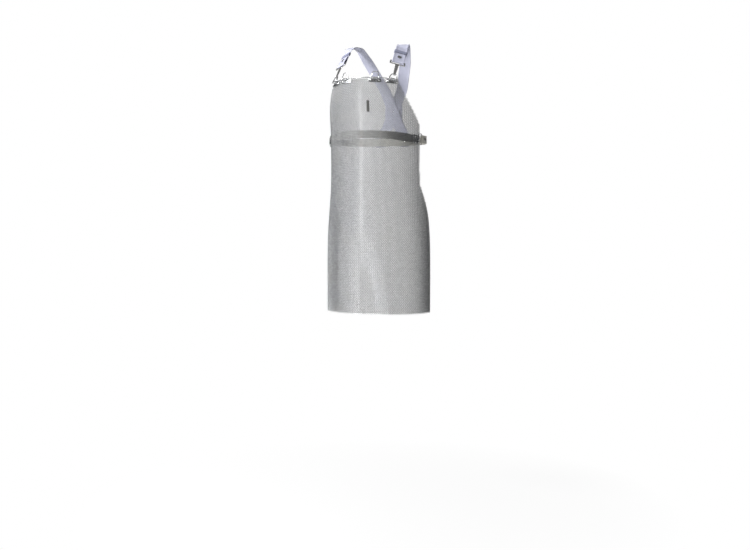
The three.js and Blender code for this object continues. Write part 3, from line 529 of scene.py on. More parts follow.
# %% [markdown]
# ## Making meshes
# Nearly every hard piece here is a loft: a row of closed loops, skinned one to the next and capped at
# both ends. A rivet is circles along its own axis, a strap is one cross-section carried along a
# line, and a plate is its outline shrunk and lifted step by step round its edge.

# %% Loft closed loops into one skin
def loft(loops, closed=False, band=None):
    loops = np.asarray(loops, float)
    count, around = loops.shape[:2]
    rows = np.arange(count if closed else count - 1)[:, None]
    here = rows * around + np.arange(around)
    ahead = ((rows + 1) % count) * around + np.arange(around)
    quads = np.stack([here, np.roll(here, -1, 1), np.roll(ahead, -1, 1), ahead], -1)
    faces = quads.reshape(-1, 4).tolist()
    if not closed:
        faces.append(list(range(around))[::-1])
        faces.append(list(range((count - 1) * around, count * around)))
    points = loops.reshape(-1, 3)
    return points, faces, points[:, :2] if band is None else np.asarray(band).reshape(-1, 2)


# %% Join skins, mirror them and make the piece
def joined(skins):
    points = np.vstack([skin[0] for skin in skins])
    starts = np.cumsum([0] + [len(skin[0]) for skin in skins])
    faces = [[i + start for i in face] for skin, start in zip(skins, starts) for face in skin[1]]
    return points, faces, np.vstack([skin[2] for skin in skins])


def mirrored(skins):
    return [(points * [-1, 1, 1], [face[::-1] for face in faces], band) for points, faces, band in skins]


def new_object(name, mesh, finish):
    mesh.materials.append(FINISH[finish])
    return add_object(name, mesh)


def turned_out(mesh):
    work = bmesh.new()
    work.from_mesh(mesh)
    bmesh.ops.recalc_face_normals(work, faces=work.faces)
    work.to_mesh(mesh)
    work.free()


def skin_mesh(name, skins):
    points, faces, band = joined(skins)
    mesh = bpy.data.meshes.new(name)
    mesh.from_pydata((points * MM).tolist(), [], faces)
    mesh.update()
    turned_out(mesh)
    layer = mesh.uv_layers.new(name="Band")
    corner = np.zeros(len(mesh.loops), int)
    mesh.loops.foreach_get("vertex_index", corner)
    layer.data.foreach_set("uv", (band[corner] * MM).ravel())
    mesh.shade_smooth()
    return mesh


def piece(node, skins, finish="polished steel", sharp=38):
    mesh = skin_mesh("fine_" + node, skins)
    mesh.set_sharp_from_angle(angle=math.radians(sharp))
    made = new_object("fine_" + node, mesh, finish)
    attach(made, BODY_OF[node])
    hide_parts(node)


def pair(node, skins, finish="polished steel"):
    piece(node + "_left", skins, finish)
    piece(node + "_right", mirrored(skins), finish)


# %% Frames: a place with its own three directions
def unit(v):
    return np.asarray(v, float) / np.linalg.norm(v)


def frame_of(origin, x, y, z):
    made = np.eye(4)
    made[:3, :4] = np.stack([x, y, z, origin], -1)
    return made


def frame_at(origin, across, out):
    z = unit(out)
    x = unit(np.asarray(across) - np.dot(across, z) * z)
    return frame_of(origin, x, np.cross(z, x), z)


def placed(points, place):
    return np.asarray(points, float) @ place[:3, :3].T + place[:3, 3]


def point_in(place, x, y, z):
    return placed([x, y, z], place)


def moved(place, x, y, z):
    made = place.copy()
    made[:3, 3] = point_in(place, x, y, z)
    return made


MAIL_SPAN = 8


def mail_frame(s, t):
    across = on_mail(s + MAIL_SPAN, t) - on_mail(s - MAIL_SPAN, t)
    up = on_mail(s, t - MAIL_SPAN) - on_mail(s, t + MAIL_SPAN)
    return frame_at(on_mail(s, t), across, np.cross(across, up))


def way_along(line):
    return np.concatenate([[0], np.cumsum(np.linalg.norm(np.diff(line, axis=0), axis=-1))])


# %% Round pieces, rounded outlines and plates
def circle(sides):
    turn = np.arange(sides) * 2 * math.pi / sides
    return np.stack([np.cos(turn), np.sin(turn)], -1)


def turned(profile, sides=28):
    ring = circle(sides)
    return [np.column_stack([ring * r, np.full(sides, h)]) for r, h in profile]


def arc(centre, radius, start, end, steps=5):
    turn = np.radians(np.linspace(start, end, steps + 1))
    return np.array(centre) + radius * np.stack([np.cos(turn), np.sin(turn)], -1)


def rounded_box(width, height, corner, spaced=2.0):
    x, y = width / 2 - corner, height / 2 - corner
    centres = ((x, y), (-x, y), (-x, -y), (x, -y))
    turns = [arc(centre, corner, 90 * i, 90 * i + 90) for i, centre in enumerate(centres)]
    return filled(np.vstack(turns), spaced)


def filled(line, spaced):
    points = []
    for a, b in zip(line, np.roll(line, -1, 0)):
        steps = max(1, round(float(np.linalg.norm(b - a)) / spaced))
        points += [a + (b - a) * i / steps for i in range(steps)]
    return np.array(points)


def plate(width, height, corner, thick, edge=0.45):
    outline = rounded_box(width, height, corner)
    half = np.array([width, height]) / 2
    inner = [(share * half, 0.0) for share in (0.97, 0.7, 0.4, 0.15)]
    lip = [(np.full(2, edge * (1 - math.sin(a))), edge * (1 - math.cos(a))) for a in (0, 0.5, 1.05, 1.57)]
    steps = inner + lip
    steps += [(inset, thick - height_here) for inset, height_here in reversed(steps)]
    return [np.column_stack([outline * (1 - inset / half), np.full(len(outline), z)]) for inset, z in steps]


print("a clip plate has", len(plate(38, 12, 2.5, 1.5)), "loops")

# %% [markdown]
# ## The ring mesh
# Each ring is linked through four others, two in the row above and two in the row below. Rows lean
# alternately forwards and backwards, and that lean is what lets the wire of one ring pass over its
# neighbour on one side and under it on the other. The rings could be instances of one ring, but then
# none could differ, so all their points are worked out at once as one long table.
# The sheet is divided where it isn't seen, so that no single mesh grows too heavy.

# %% Ring sizes
RING_MID = 2.97
RING_WIRE = 0.53
PITCH = 7.0
ROW_PITCH = 2.6
RING_LEAN = 30
RING_SIDES = 12
WIRE_SIDES = 5
RING_OUT = RING_MID + RING_WIRE
EDGE_SLACK = 1.5
print("a ring is", 2 * RING_OUT, "mm across")

# %% List every ring's place in the flat cut
def ring_places():
    places = []
    for row in range(int((MAIL_LENGTH - 2 * RING_OUT) / ROW_PITCH) + 1):
        t = RING_OUT + row * ROW_PITCH
        limit = float(half_width(t)) - RING_OUT + EDGE_SLACK
        start = PITCH / 2 if row % 2 else 0.0
        reach = int((limit + start) / PITCH)
        across = [k * PITCH + start for k in range(-reach - 1, reach + 1)]
        places += [(s, t, row) for s in across if abs(s) <= limit]
    return np.array(places)


PLACES = ring_places()
print("rings in the mesh:", len(PLACES))

# %% One ring, and its points at many places
def ring_points(mid, wire):
    major = circle(RING_SIDES)
    minor = circle(WIRE_SIDES)
    radius = mid + wire * minor[None, :, 0]
    x = radius * major[:, :1]
    y = radius * major[:, 1:]
    z = np.broadcast_to(wire * minor[None, :, 1], x.shape)
    return np.stack([x, y, z], -1).reshape(-1, 3)


def face_corners():
    major, minor = np.indices((RING_SIDES, WIRE_SIDES))
    corners = ((0, 0), (1, 0), (1, 1), (0, 1))
    return (np.stack([part + step[i] for step in corners], -1) for i, part in enumerate((major, minor)))


def ring_faces(count):
    major, minor = face_corners()
    one = (major % RING_SIDES * WIRE_SIDES + minor % WIRE_SIDES).reshape(-1, 4)
    return (one[None] + np.arange(count)[:, None, None] * RING_SIDES * WIRE_SIDES).reshape(-1, 4)


# %% Give each ring its own square of the texture
def ring_picture(count):
    side = math.ceil(math.sqrt(count))
    major, minor = face_corners()
    cell = np.arange(count)[:, None]
    u = (cell % side + 0.06 + 0.88 * (major / RING_SIDES).reshape(-1)) / side
    v = (cell // side + 0.06 + 0.88 * (minor / WIRE_SIDES).reshape(-1)) / side
    return np.stack([u, v], -1).reshape(-1)


# %% Turn each ring into place
RING_SPAN = 2


def leaning(degrees):
    c, s = np.cos(np.radians(degrees)), np.sin(np.radians(degrees))
    one, none = np.ones_like(c), np.zeros_like(c)
    rows = [[one, none, none], [none, c, -s], [none, s, c]]
    return np.stack([np.stack(row, -1) for row in rows], -2)


def unit_rows(rows):
    return rows / np.linalg.norm(rows, axis=-1, keepdims=True)


def ring_frames(s, t, off):
    across = on_mail(s + RING_SPAN, t, off) - on_mail(s - RING_SPAN, t, off)
    up = on_mail(s, t - RING_SPAN, off) - on_mail(s, t + RING_SPAN, off)
    x = unit_rows(across)
    z = unit_rows(np.cross(across, up))
    return np.stack([x, np.cross(z, x), z], -1)


# %% Make one mesh out of many rings
RANDOM = np.random.default_rng(11)
CROWN_DEPTH = 2.6


def ring_mesh(name, centres, turns, wire_points):
    count = len(centres)
    local = np.einsum("nij,vj->nvi", turns[0], wire_points)
    points = np.einsum("nij,nvj->nvi", turns[1], local) + centres[:, None]
    mesh = bpy.data.meshes.new(name)
    faces = ring_faces(count)
    mesh.vertices.add(count * len(wire_points))
    mesh.vertices.foreach_set("co", (points * MM).astype(np.float32).ravel())
    mesh.loops.add(faces.size)
    mesh.loops.foreach_set("vertex_index", faces.astype(np.int32).ravel())
    mesh.polygons.add(len(faces))
    mesh.polygons.foreach_set("loop_start", np.arange(0, faces.size, 4, dtype=np.int32))
    mesh.update(calc_edges=True)
    mesh.uv_layers.new(name="OFBake").data.foreach_set("uv", ring_picture(count).astype(np.float32))
    tone = mesh.attributes.new("ring_tone", "FLOAT", "POINT")
    tone.data.foreach_set("value", np.repeat(RANDOM.random(count), len(wire_points)).astype(np.float32))
    # crown says how far out a point lies on its ring. It drives the painted shade on the inner side and the
    # rougher steel there.
    crown = mesh.attributes.new("crown", "FLOAT", "POINT")
    outward = np.clip(0.5 + local[..., 2] / CROWN_DEPTH, 0, 1)
    crown.data.foreach_set("value", outward.astype(np.float32).ravel())
    mesh.shade_smooth()
    return mesh


# %% Make a panel of the sheet
WIRE_POINTS = ring_points(RING_MID, RING_WIRE)
LEAN_SPREAD = 1.2


def mail_panel(name, chosen):
    s, t, row = chosen.T
    off = MAIL_THICK / 2 + crease(s, t)
    lean = np.where(row % 2, -RING_LEAN, RING_LEAN) + RANDOM.normal(0, LEAN_SPREAD, len(s))
    turns = (leaning(lean), ring_frames(s, t, MAIL_THICK / 2))
    made = new_object(name, ring_mesh(name, on_mail(s, t, off), turns, WIRE_POINTS), "ring wire")
    return made


# %% Front panels
SIDE_FROM = 168
PANELS = 9
inside = PLACES[np.abs(PLACES[:, 0]) < SIDE_FROM]
every_row = np.arange(int(PLACES[:, 2].max()) + 1)
for number, rows in enumerate(np.array_split(every_row, PANELS), 1):
    panel = mail_panel(f"mail_front_{number}", inside[np.isin(inside[:, 2], rows)])
    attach(panel, "apron")
    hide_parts("mail_front")
print("front panels hold", len(inside), "rings")

# %% [markdown]
# The two outer strips of the sheet hang down the wearer's sides. Each strip is made as two panels,
# its upper rows and its lower rows, in the place where it hangs.

# %% Side panels
BEND_FROM = 204
BEND_TO = 240
BEND_T = 500
SIDES = (("left", 1), ("right", -1))
for side, way in SIDES:
    strip = PLACES[PLACES[:, 0] * way >= SIDE_FROM]
    middle = np.median(strip[:, 2])
    for number, chosen in enumerate((strip[strip[:, 2] <= middle], strip[strip[:, 2] > middle]), 1):
        panel = mail_panel(f"mail_{side}_{number}", chosen)
        start = on_mail(BEND_FROM * way, BEND_T, MAIL_THICK / 2)
        end = on_mail(BEND_TO * way, BEND_T, MAIL_THICK / 2)
        end[2] = start[2]
        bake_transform(panel)
        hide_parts(f"mail_wing_{side}")
    print(side, "strip holds", len(strip), "rings")

# %% [markdown]
# ## The top edge
# A stiff wire keeps the top edge straight. Short rings hang the first row of the mesh on it, each one
# standing across the wire. They are left out under the clips, whose plates grip the mesh itself.

# %% A tube along a line
def tube(line, radius, ref=(0, 0, 1), sides=12, closed=False):
    line = np.asarray(line, float)
    ahead = np.roll(line, -1, 0) - np.roll(line, 1, 0) if closed else np.gradient(line, axis=0)
    along = unit_rows(ahead)
    first = unit_rows(np.asarray(ref) - (along @ np.asarray(ref, float))[:, None] * along)
    second = np.cross(along, first)
    ring = circle(sides)
    spread = ring[None, :, :1] * first[:, None] + ring[None, :, 1:] * second[:, None]
    return line[:, None] + np.broadcast_to(radius, len(line))[:, None, None] * spread


# %% The edge wire
EDGE_WIRE_R = 1.5
WIRE_ABOVE = 1.9
half = float(half_width(0)) - EDGE_WIRE_R
s = np.linspace(-half, half, 121)
line = on_mail(s, 0, MAIL_THICK / 2) + [0, 0, WIRE_ABOVE]
from_end = np.minimum(np.arange(len(s)), np.arange(len(s))[::-1])
taper = np.interp(from_end, [0, 1, 2], [0.5, 0.9, 1.0])
piece("top_edge_wire", [loft(tube(line, EDGE_WIRE_R * taper))])

# %% Hanger rings on the wire
INNER_S = 51
CORNER_S = 105
CLIP_WIDTH = 38
HANGER_UP = 1.3
s = np.arange(-17, 18) * PITCH
s = s[[min(abs(abs(x) - c) for c in (INNER_S, CORNER_S)) > CLIP_WIDTH / 2 + 3 for x in s]]
centres = on_mail(s, 0, MAIL_THICK / 2) + [0, 0, HANGER_UP]
face = ring_frames(s, np.zeros(len(s)), MAIL_THICK / 2)
sideways = np.stack([face[..., 2], face[..., 1], -face[..., 0]], -1)
turns = (leaning(RANDOM.normal(0, 4, len(s))), sideways)
small = ring_points(2.55, 0.45)
hangers = new_object("hanger_rings", ring_mesh("hanger_rings", centres, turns, small), "ring wire")
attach(hangers, "apron")
print("hanger rings:", len(s))

# %% [markdown]
# ## Clips, rivets and wire rings
# A clip is two steel plates that grip the mesh between two rivets. The outer plate runs up into a
# tongue, curled round the bar of a wire ring so that the ring can swing. The ring is one bent wire,
# and its weld is the small bead halfway up one side.

# %% Sizes shared by the clips
SEAT = 0.3
FIT = 0.12
RUN = 0.25
PLATE = 1.5
CLIP_HEIGHT = 12
CLIP_T = 7
CORNER_LIFT = 1
WIRE_R = 1.5
KNUCKLE_WALL = 1.2
KNUCKLE_R = WIRE_R + RUN + KNUCKLE_WALL
FRONT_OUT = MAIL_THICK + SEAT
PLATE_TOP = FRONT_OUT + PLATE
INNER_GAP = 0.75
BACK_LOW = -INNER_GAP - PLATE
KNUCKLE_LAP = 2.2
KNUCKLE_SINK = 0.5
KNUCKLE_UP = CLIP_HEIGHT / 2 + KNUCKLE_R - KNUCKLE_LAP
KNUCKLE_OUT = PLATE_TOP + KNUCKLE_R - KNUCKLE_SINK
print("knuckle radius:", KNUCKLE_R)


# %% A strip carried along a line
def spaced(line, step):
    points = [line[0]]
    for a, b in zip(line, line[1:]):
        steps = max(1, round(float(np.linalg.norm(b - a)) / step))
        points += [a + (b - a) * i / steps for i in range(1, steps + 1)]
    return np.array(points)


def ribbon(line, across, outline, closed=False, wide=None):
    line = np.asarray(line, float)
    along = unit_rows(np.roll(line, -1, 0) - np.roll(line, 1, 0) if closed else np.gradient(line, axis=0))
    across = np.broadcast_to(np.asarray(across, float), line.shape)
    x = unit_rows(across - (across * along).sum(-1, keepdims=True) * along)
    z = np.cross(x, along)
    wide = np.ones(len(line)) if wide is None else wide
    part = wide[:, None, None] * outline[None, :, :1] * x[:, None]
    loops = line[:, None] + part + outline[None, :, 1:] * z[:, None]
    gone = way_along(line)
    band = np.stack([wide[:, None] * outline[None, :, 0], gone[:, None] + 0 * outline[None, :, 0]], -1)
    return loft(loops, closed, band)


def placed_loft(loops, place):
    return loft([placed(loop, place) for loop in loops])


# %% Rivets: a foot below, a shank through everything, and a head above
def fastener(low, high, foot, shank, head, sides):
    under, over = low - FIT, high + FIT
    profile = [(r, under - h) for r, h in foot] + [(shank, under + 0.01), (shank, over - 0.01)]
    return turned(profile + [(r, over + h) for r, h in head], sides)


RIVET_FOOT = ((0.05, 0.9), (2.4, 1.0), (2.85, 0.75), (3.0, 0.4), (2.9, 0))
RIVET_HEAD = (
    (2.95, 0), (3.0, 0.35), (2.7, 0.75), (2.0, 1.02), (1.2, 1.1), (0.9, 1.02), (0.6, 0.85), (0.05, 0.8),
)


def rivet(low, high):
    return fastener(low, high, RIVET_FOOT, 1.5, RIVET_HEAD, 22)


print("rivet loops:", len(rivet(0, 5)))


# %% Curled tongue of a clip
def curl(place, length, lift=0.0):
    mid = WIRE_R + RUN + KNUCKLE_WALL / 2
    turn = np.radians(np.arange(0, 291, 15))
    path = [(-4.6, -mid - lift - 0.25), (-3.4, -mid - lift - 0.15), (-1.8, -mid - 0.45 * lift)]
    path += list(mid * np.stack([np.sin(turn), -np.cos(turn)], -1))
    line = [point_in(place, 0, y, z) for y, z in path]
    return ribbon(line, place[:3, 0], rounded_box(length, KNUCKLE_WALL, 0.4, 1.5))


# %% Plates that follow the mesh
def draped_plate(s, t, width, height, corner, low, thick=PLATE):
    loops = plate(width, height, corner, thick)
    return loft([on_mail(s + loop[:, 0], t - loop[:, 1], low + loop[:, 2]) for loop in loops])


# %% A wire ring
RING_BASE = 26
RING_APEX = 16
RING_HEIGHT = 19


def rounded(corners, bend, steps=8):
    corners = np.asarray(corners, float)
    line = [corners[0]]
    share = np.linspace(0, 1, steps + 1)[:, None]
    for a, b, c in zip(corners, corners[1:], corners[2:]):
        into = b + unit(a - b) * bend
        away = b + unit(c - b) * bend
        line += list((1 - share) ** 2 * into + 2 * share * (1 - share) * b + share ** 2 * away)
    return np.array([*line, corners[-1]])


def wire_ring(base, apex, height, place):
    four = np.array([[-base / 2, 0, 0], [base / 2, 0, 0], [apex / 2, height, 0], [-apex / 2, height, 0]])
    line = filled(rounded([four[3], *four, four[0]], 3.5)[1:-1], 1.6)
    weld = (four[1] + four[2]) / 2
    bead = 0.28 * np.exp(-((np.linalg.norm(line - weld, axis=-1) / 0.9) ** 2))
    return loft(tube([placed(p, place) for p in line], WIRE_R + bead, place[:3, 2], 14, True), True)


print("a ring is", RING_HEIGHT, "mm high")


# %% Make one clip
CLIP_CORNER = 2.6
CLIP_BOLT = 13
TONGUE_WIDTH = 16


def clip(node, s, ring_place, sides=1, lift=0.0):
    bolts = [mail_frame(s + way * CLIP_BOLT, CLIP_T) for way in (-1, 1)]
    made = {}
    for face, low in (("front_plate", FRONT_OUT), ("back_plate", BACK_LOW)):
        made[face] = [draped_plate(s, CLIP_T, CLIP_WIDTH, CLIP_HEIGHT, CLIP_CORNER, low)]
    made["front_plate"].append(curl(ring_place, TONGUE_WIDTH, lift))
    for number, bolt in enumerate(bolts, 1):
        made[f"rivet_{number}"] = [placed_loft(rivet(BACK_LOW, PLATE_TOP), bolt)]
    for name, skins in made.items():
        piece(f"{node}_{name}", skins if sides > 0 else mirrored(skins))


# %% The two inner clips
for side, way in SIDES:
    ring_place = moved(mail_frame(way * INNER_S, CLIP_T), 0, KNUCKLE_UP, KNUCKLE_OUT)
    clip(f"inner_clip_{side}", way * INNER_S, ring_place)
    ring = wire_ring(RING_BASE, RING_APEX, RING_HEIGHT, ring_place)
    piece(f"inner_clip_{side}_ring", [ring])

# %% [markdown]
# ## The chain from a corner clip to a strap
# The corner clip, its ring, the T-plate and the strap's loop pull on one line, so they share one
# frame: along the knuckle, up towards the shoulder, and outwards. The frame aims from the knuckle at
# the point where the strap starts to turn over the shoulder.

# %% Sizes of the straps and the chain
STRAP_WIDTH = 38
STRAP_THICK = 2
T_PLATE = 2.5
T_LENGTH = 52
T_RAIL = 3
T_SLOT = 7
LOOP_LEAD = 3
SHOULDER_YAW = 20
CHEST_YAW = 36
CROSS_Z = -200
BACK_Y = 108.8
BELT_THICK = 2
SIDE_Z = -302
STRAP_LIFT = STRAP_THICK + SEAT
STRAP_END_GAP = 0.8
STRAP_END_OFF = BELT_THICK + STRAP_END_GAP + STRAP_THICK / 2
STRAP_END_S = half_round(SIDE_Z) - 44
SLOT_PLAY = 0.5
LOOP_R = math.hypot(T_RAIL, T_PLATE) / 2 + SLOT_PLAY + STRAP_THICK / 2
print("strap loop radius:", round(LOOP_R, 2))


# %% The strap's corners over the shoulder and down the back
SHOULDER_TOP = np.array([88, 0, STRAP_THICK / 2])
SHOULDER_HALF = 21
SHOULDER_BLADE = np.array([65, 62, -48])
BACK_LEAN = 0.436
BACK_HEIGHTS = (-130, -262)
END_HEIGHTS = (-285, -318)


def turned_x(degrees):
    return np.array([math.cos(math.radians(degrees)), math.sin(math.radians(degrees)), 0])


def strap_corners(lift):
    along = turned_x(SHOULDER_YAW + 90)
    level = [SHOULDER_TOP - SHOULDER_HALF * along, SHOULDER_TOP + SHOULDER_HALF * along]
    back = [np.array([BACK_LEAN * (z - CROSS_Z), BACK_Y + lift, z]) for z in BACK_HEIGHTS]
    low = [on_form(-STRAP_END_S, z, STRAP_END_OFF) for z in END_HEIGHTS]
    return [*level, SHOULDER_BLADE, *back, *low], [SHOULDER_YAW, SHOULDER_YAW, 0, 0, 0, 12, 12]


# %% The chain's frame
def chain_frame(s):
    knuckle = point_in(mail_frame(s, CLIP_T), 0, KNUCKLE_UP, KNUCKLE_OUT + CORNER_LIFT)
    goal = strap_corners(0)[0][0]
    across = turned_x(CHEST_YAW)
    up = unit(goal - knuckle)
    for _ in range(4):
        out = unit(np.cross(across - np.dot(across, up) * up, up))
        up = unit(goal + LOOP_R * out - knuckle)
    x = unit(across - np.dot(across, up) * up)
    return frame_of(knuckle, x, up, np.cross(x, up))


CHAIN = chain_frame(CORNER_S)
RAIL = moved(CHAIN, 0, RING_HEIGHT + T_LENGTH, 0)
print("rail at", RAIL[:3, 3].round(1))

# %% Corner clips and rings
for side, way in SIDES:
    clip(f"corner_clip_{side}", CORNER_S, CHAIN, way, CORNER_LIFT)
pair("corner_ring", [wire_ring(RING_BASE, RING_APEX, RING_HEIGHT, CHAIN)])

# %% [markdown]
# ## T-plates
# A T-plate is cut from thick sheet: a rail and a slot across the top for the strap, and a stem that
# ends in a hook round the ring. It has an outline with a hole in it, which a loft can't make. A flat
# Blender curve can: it fills between its outlines, thickens, and rounds its own edges.


# %% A plate with a hole, from a flat curve
def punched_plate(outlines, thick, edge):
    data = bpy.data.curves.new("punched", "CURVE")
    data.dimensions = "2D"
    data.fill_mode = "BOTH"
    data.extrude = thick / 2 - edge
    data.bevel_depth = edge
    data.bevel_resolution = 3
    data.offset = -edge
    for outline in outlines:
        spline = data.splines.new("POLY")
        spline.points.add(len(outline) - 1)
        for point, (x, y) in zip(spline.points, outline):
            point.co = (x, y, 0, 1)
        spline.use_cyclic_u = True
    holder = bpy.data.objects.new("punched", data)
    mesh = bpy.data.meshes.new_from_object(holder)
    work = bmesh.new()
    work.from_mesh(mesh)
    bmesh.ops.remove_doubles(work, verts=work.verts, dist=1e-4)
    points = np.array([v.co for v in work.verts])
    faces = [[v.index for v in face.verts] for face in work.faces]
    work.free()
    bpy.data.objects.remove(holder)
    return points, faces, points[:, :2]


# %% The T-plate's outline
SLOT_HALF = STRAP_WIDTH / 2 + 1
T_HALF = SLOT_HALF + 5
T_LOW = -T_RAIL / 2 - T_SLOT - T_RAIL


def t_outline():
    line = [arc((-T_HALF + 2, T_RAIL / 2 - 2), 2, 90, 180), arc((-T_HALF + 2, T_LOW + 2), 2, 180, 270)]
    line += [arc((-9.5, T_LOW - 4), 4, 90, 0), [(-5.5, T_LOW - 12), (-4, -T_LENGTH + 3.5)]]
    left = np.vstack(line)
    right = left[::-1] * [-1, 1]
    slot = rounded_box(2 * SLOT_HALF, T_SLOT, 1.2) + [0, -T_RAIL / 2 - T_SLOT / 2]
    return [np.vstack([left, right]), slot[::-1]]


# %% Make the T-plates
def t_hook():
    mid = WIRE_R + RUN + 0.75
    turn = np.radians(np.arange(20, 331, 15))
    line = [(0, -T_LENGTH + 6.0, 0), (0, -T_LENGTH + 4.0, -mid * 0.45)]
    line += [(0, -T_LENGTH + mid * math.cos(a), -mid * math.sin(a)) for a in turn]
    return ribbon([placed(p, RAIL) for p in line], RAIL[:3, 0], rounded_box(8, 1.5, 0.5, 1.5))


points, faces, band = punched_plate(t_outline(), T_PLATE, 0.45)
pair("t_plate", [(placed(points, RAIL), faces, band), t_hook()], "brushed steel")
print("T-plate faces:", len(faces))

# %% [markdown]
# ## Shoulder straps
# A strap is one long band. It starts in a loop round the T-plate's rail, lies up the chest, turns
# over the shoulder while it twists to lie flat on it, and runs down the back across the other one.
# Its cross-section has a rounded lip along each edge and a shallow field between, as pressed webbing
# has. The end that passed through the slot folds back and closes with a press stud.


# %% Cross-section of a strap and of a belt
def lipped(width, thick, lip, sink):
    half, high = width / 2, thick / 2
    part = [(half, 0.3), (half - 0.2, 0.7), (half - 0.7, 0.96), (half - 1.2, 1.0), (half - lip, 1.0)]
    part += [(half - lip - 0.6, 1 - sink), (half * 0.5, 1 - sink), (half * 0.2, 1 - sink)]
    part = np.array(part) * [1, high]
    top = np.vstack([part, part[::-1] * [-1, 1]])
    return np.vstack([top, -top])


STRAP_SECTION = lipped(STRAP_WIDTH, STRAP_THICK, 3.0, 0.2)
print("strap section points:", len(STRAP_SECTION))


# %% A loop round a bar
def loop_end(place, radius, steps=14):
    points = [point_in(place, 0, LOOP_LEAD, radius)]
    for turn in np.linspace(0, math.pi, steps + 1):
        points.append(point_in(place, 0, -radius * math.sin(turn), radius * math.cos(turn)))
    return points


def tongue(line, corner, both=False):
    gone = way_along(line)
    left = gone[-1] - gone
    left = np.minimum(left, gone) if both else left
    short = np.clip(1 - left / corner, 0, 1)
    return 1 - 0.35 * (1 - np.sqrt(1 - short**2))


def end_spaced(line, step=1.5, count=6):
    last = line[-2] + (line[-1] - line[-2]) * np.linspace(0, 1, count * 2)[1:, None]
    return np.vstack([line[:-1], last]) if np.linalg.norm(line[-1] - line[-2]) > step else line


# %% The strap's line and the way it faces
CHEST_STRAIGHT = 50
STRAP_BEND = 14


def strap_line(lift):
    points, yaws = strap_corners(lift)
    loop = loop_end(RAIL, LOOP_R)
    corners = [loop[-1], point_in(RAIL, 0, CHEST_STRAIGHT, -LOOP_R), *points]
    yaws = [CHEST_YAW, CHEST_YAW, *yaws]
    steps = 8
    run = rounded(corners, STRAP_BEND, steps)
    gone = way_along(run)
    places, turns = [0], [yaws[0]]
    for k in range(1, len(corners) - 1):
        places += [gone[1 + (k - 1) * (steps + 1)], gone[k * (steps + 1)]]
        turns += [yaws[k]] * 2
    dense = end_spaced(spaced(run, 5.0))
    along = way_along(dense)
    across = [turned_x(turn) for turn in np.interp(along, places + [gone[-1]], turns + [yaws[-1]])]
    return np.vstack([loop, dense[1:]]), np.array([RAIL[:3, 0]] * len(loop) + across[1:])


# %% Make both straps
for side, lift in (("left", STRAP_LIFT), ("right", 0.0)):
    line, across = strap_line(lift)
    skins = [ribbon(line, across, STRAP_SECTION, wide=tongue(line, 9))]
    piece(f"shoulder_strap_{side}", skins if side == "left" else mirrored(skins), "strap coating")
    print(side, "strap:", round(way_along(line)[-1]), "mm long")

# %% Fold-back tails
TAIL_LENGTH = 32
TAIL_LIFT = 0.5
STUD_UP = 19


def tail_height(y, radius, thick, length):
    start = LOOP_LEAD + SEAT
    return np.interp(y, [start, start + length], [radius, -radius + thick + TAIL_LIFT])


y = np.linspace(LOOP_LEAD + SEAT, LOOP_LEAD + SEAT + TAIL_LENGTH, 30)
height = tail_height(y, LOOP_R, STRAP_THICK, TAIL_LENGTH)
line = placed(np.stack([0 * y, y, height], -1), RAIL)
pair("strap_tail", [ribbon(line, -RAIL[:3, 0], STRAP_SECTION, wide=tongue(line, 9))], "strap coating")

# %% [markdown]
# ## Press studs and keepers
# A press stud has two halves. The cap half shows a smooth dome with a rolled rim and a small dimple
# where its shank was spread. The post half sits in the strap below. The keeper is a short band
# that holds the tail flat, and it slides along the strap.


# %% The two halves of a press stud
CAP_FOOT = ((0.05, 0.8), (3.4, 0.8), (3.9, 0.6), (4.0, 0.3), (3.9, 0))
CAP_HEAD = (
    (6.2, 0), (6.5, 0.25), (6.45, 0.65), (6.0, 0.95), (5.6, 0.85), (5.3, 0.95), (4.2, 1.5), (2.6, 1.8),
    (1.5, 1.82), (1.2, 1.65), (0.8, 1.45), (0.05, 1.4),
)
POST_FOOT = ((0.05, 0.8), (4.7, 0.8), (5.1, 0.5), (5.2, 0.2), (5.0, 0))
POST_HEAD = ((2.9, 0), (3.0, 0.3), (2.7, 0.75), (2.0, 0.9), (0.05, 0.9))


def stud_cap(thick):
    return fastener(-thick / 2, thick / 2, CAP_FOOT, 1.8, CAP_HEAD, 32)


def stud_post(thick):
    return fastener(-thick / 2, thick / 2, POST_FOOT, 1.8, POST_HEAD, 28)


# %% Stud frames on the straps
def stud_frame(radius, thick, length, up):
    low, high = tail_height(np.array([up - 1, up]), radius, thick, length)
    return frame_at([0, up, high], [1, 0, 0], [0, low - high, 1])


CAP = RAIL @ stud_frame(LOOP_R, STRAP_THICK, TAIL_LENGTH, STUD_UP)
POST = moved(RAIL, 0, STUD_UP, -LOOP_R)
pair("strap_stud_cap", [placed_loft(stud_cap(STRAP_THICK), CAP)])
pair("strap_stud_post", [placed_loft(stud_post(STRAP_THICK), POST)])

# %% Keepers
KEEPER_UP = 42
KEEPER_WALL = 1.5
KEEPER_PLAY = 0.5
KEEPER_ROOM = 5
KEEPER_MID = KEEPER_ROOM / 2 - STRAP_THICK / 2 - KEEPER_PLAY
outline = rounded_box(STRAP_WIDTH + 2 * KEEPER_PLAY + KEEPER_WALL, KEEPER_ROOM + KEEPER_WALL, 1.9, 1.5)
line = [point_in(RAIL, x, KEEPER_UP, z + KEEPER_MID - LOOP_R) for x, z in outline]
section = rounded_box(10, KEEPER_WALL, 0.55, 1.5)
pair("strap_keeper", [ribbon(line, RAIL[:3, 1], section, closed=True)], "keeper coating")

# %% [markdown]
# ## Where the straps cross
# A patch with one rivet through its middle holds the crossing together. It is sewn round its edge, so
# each stitch is a small piece of thread, as long as a real machine stitch.


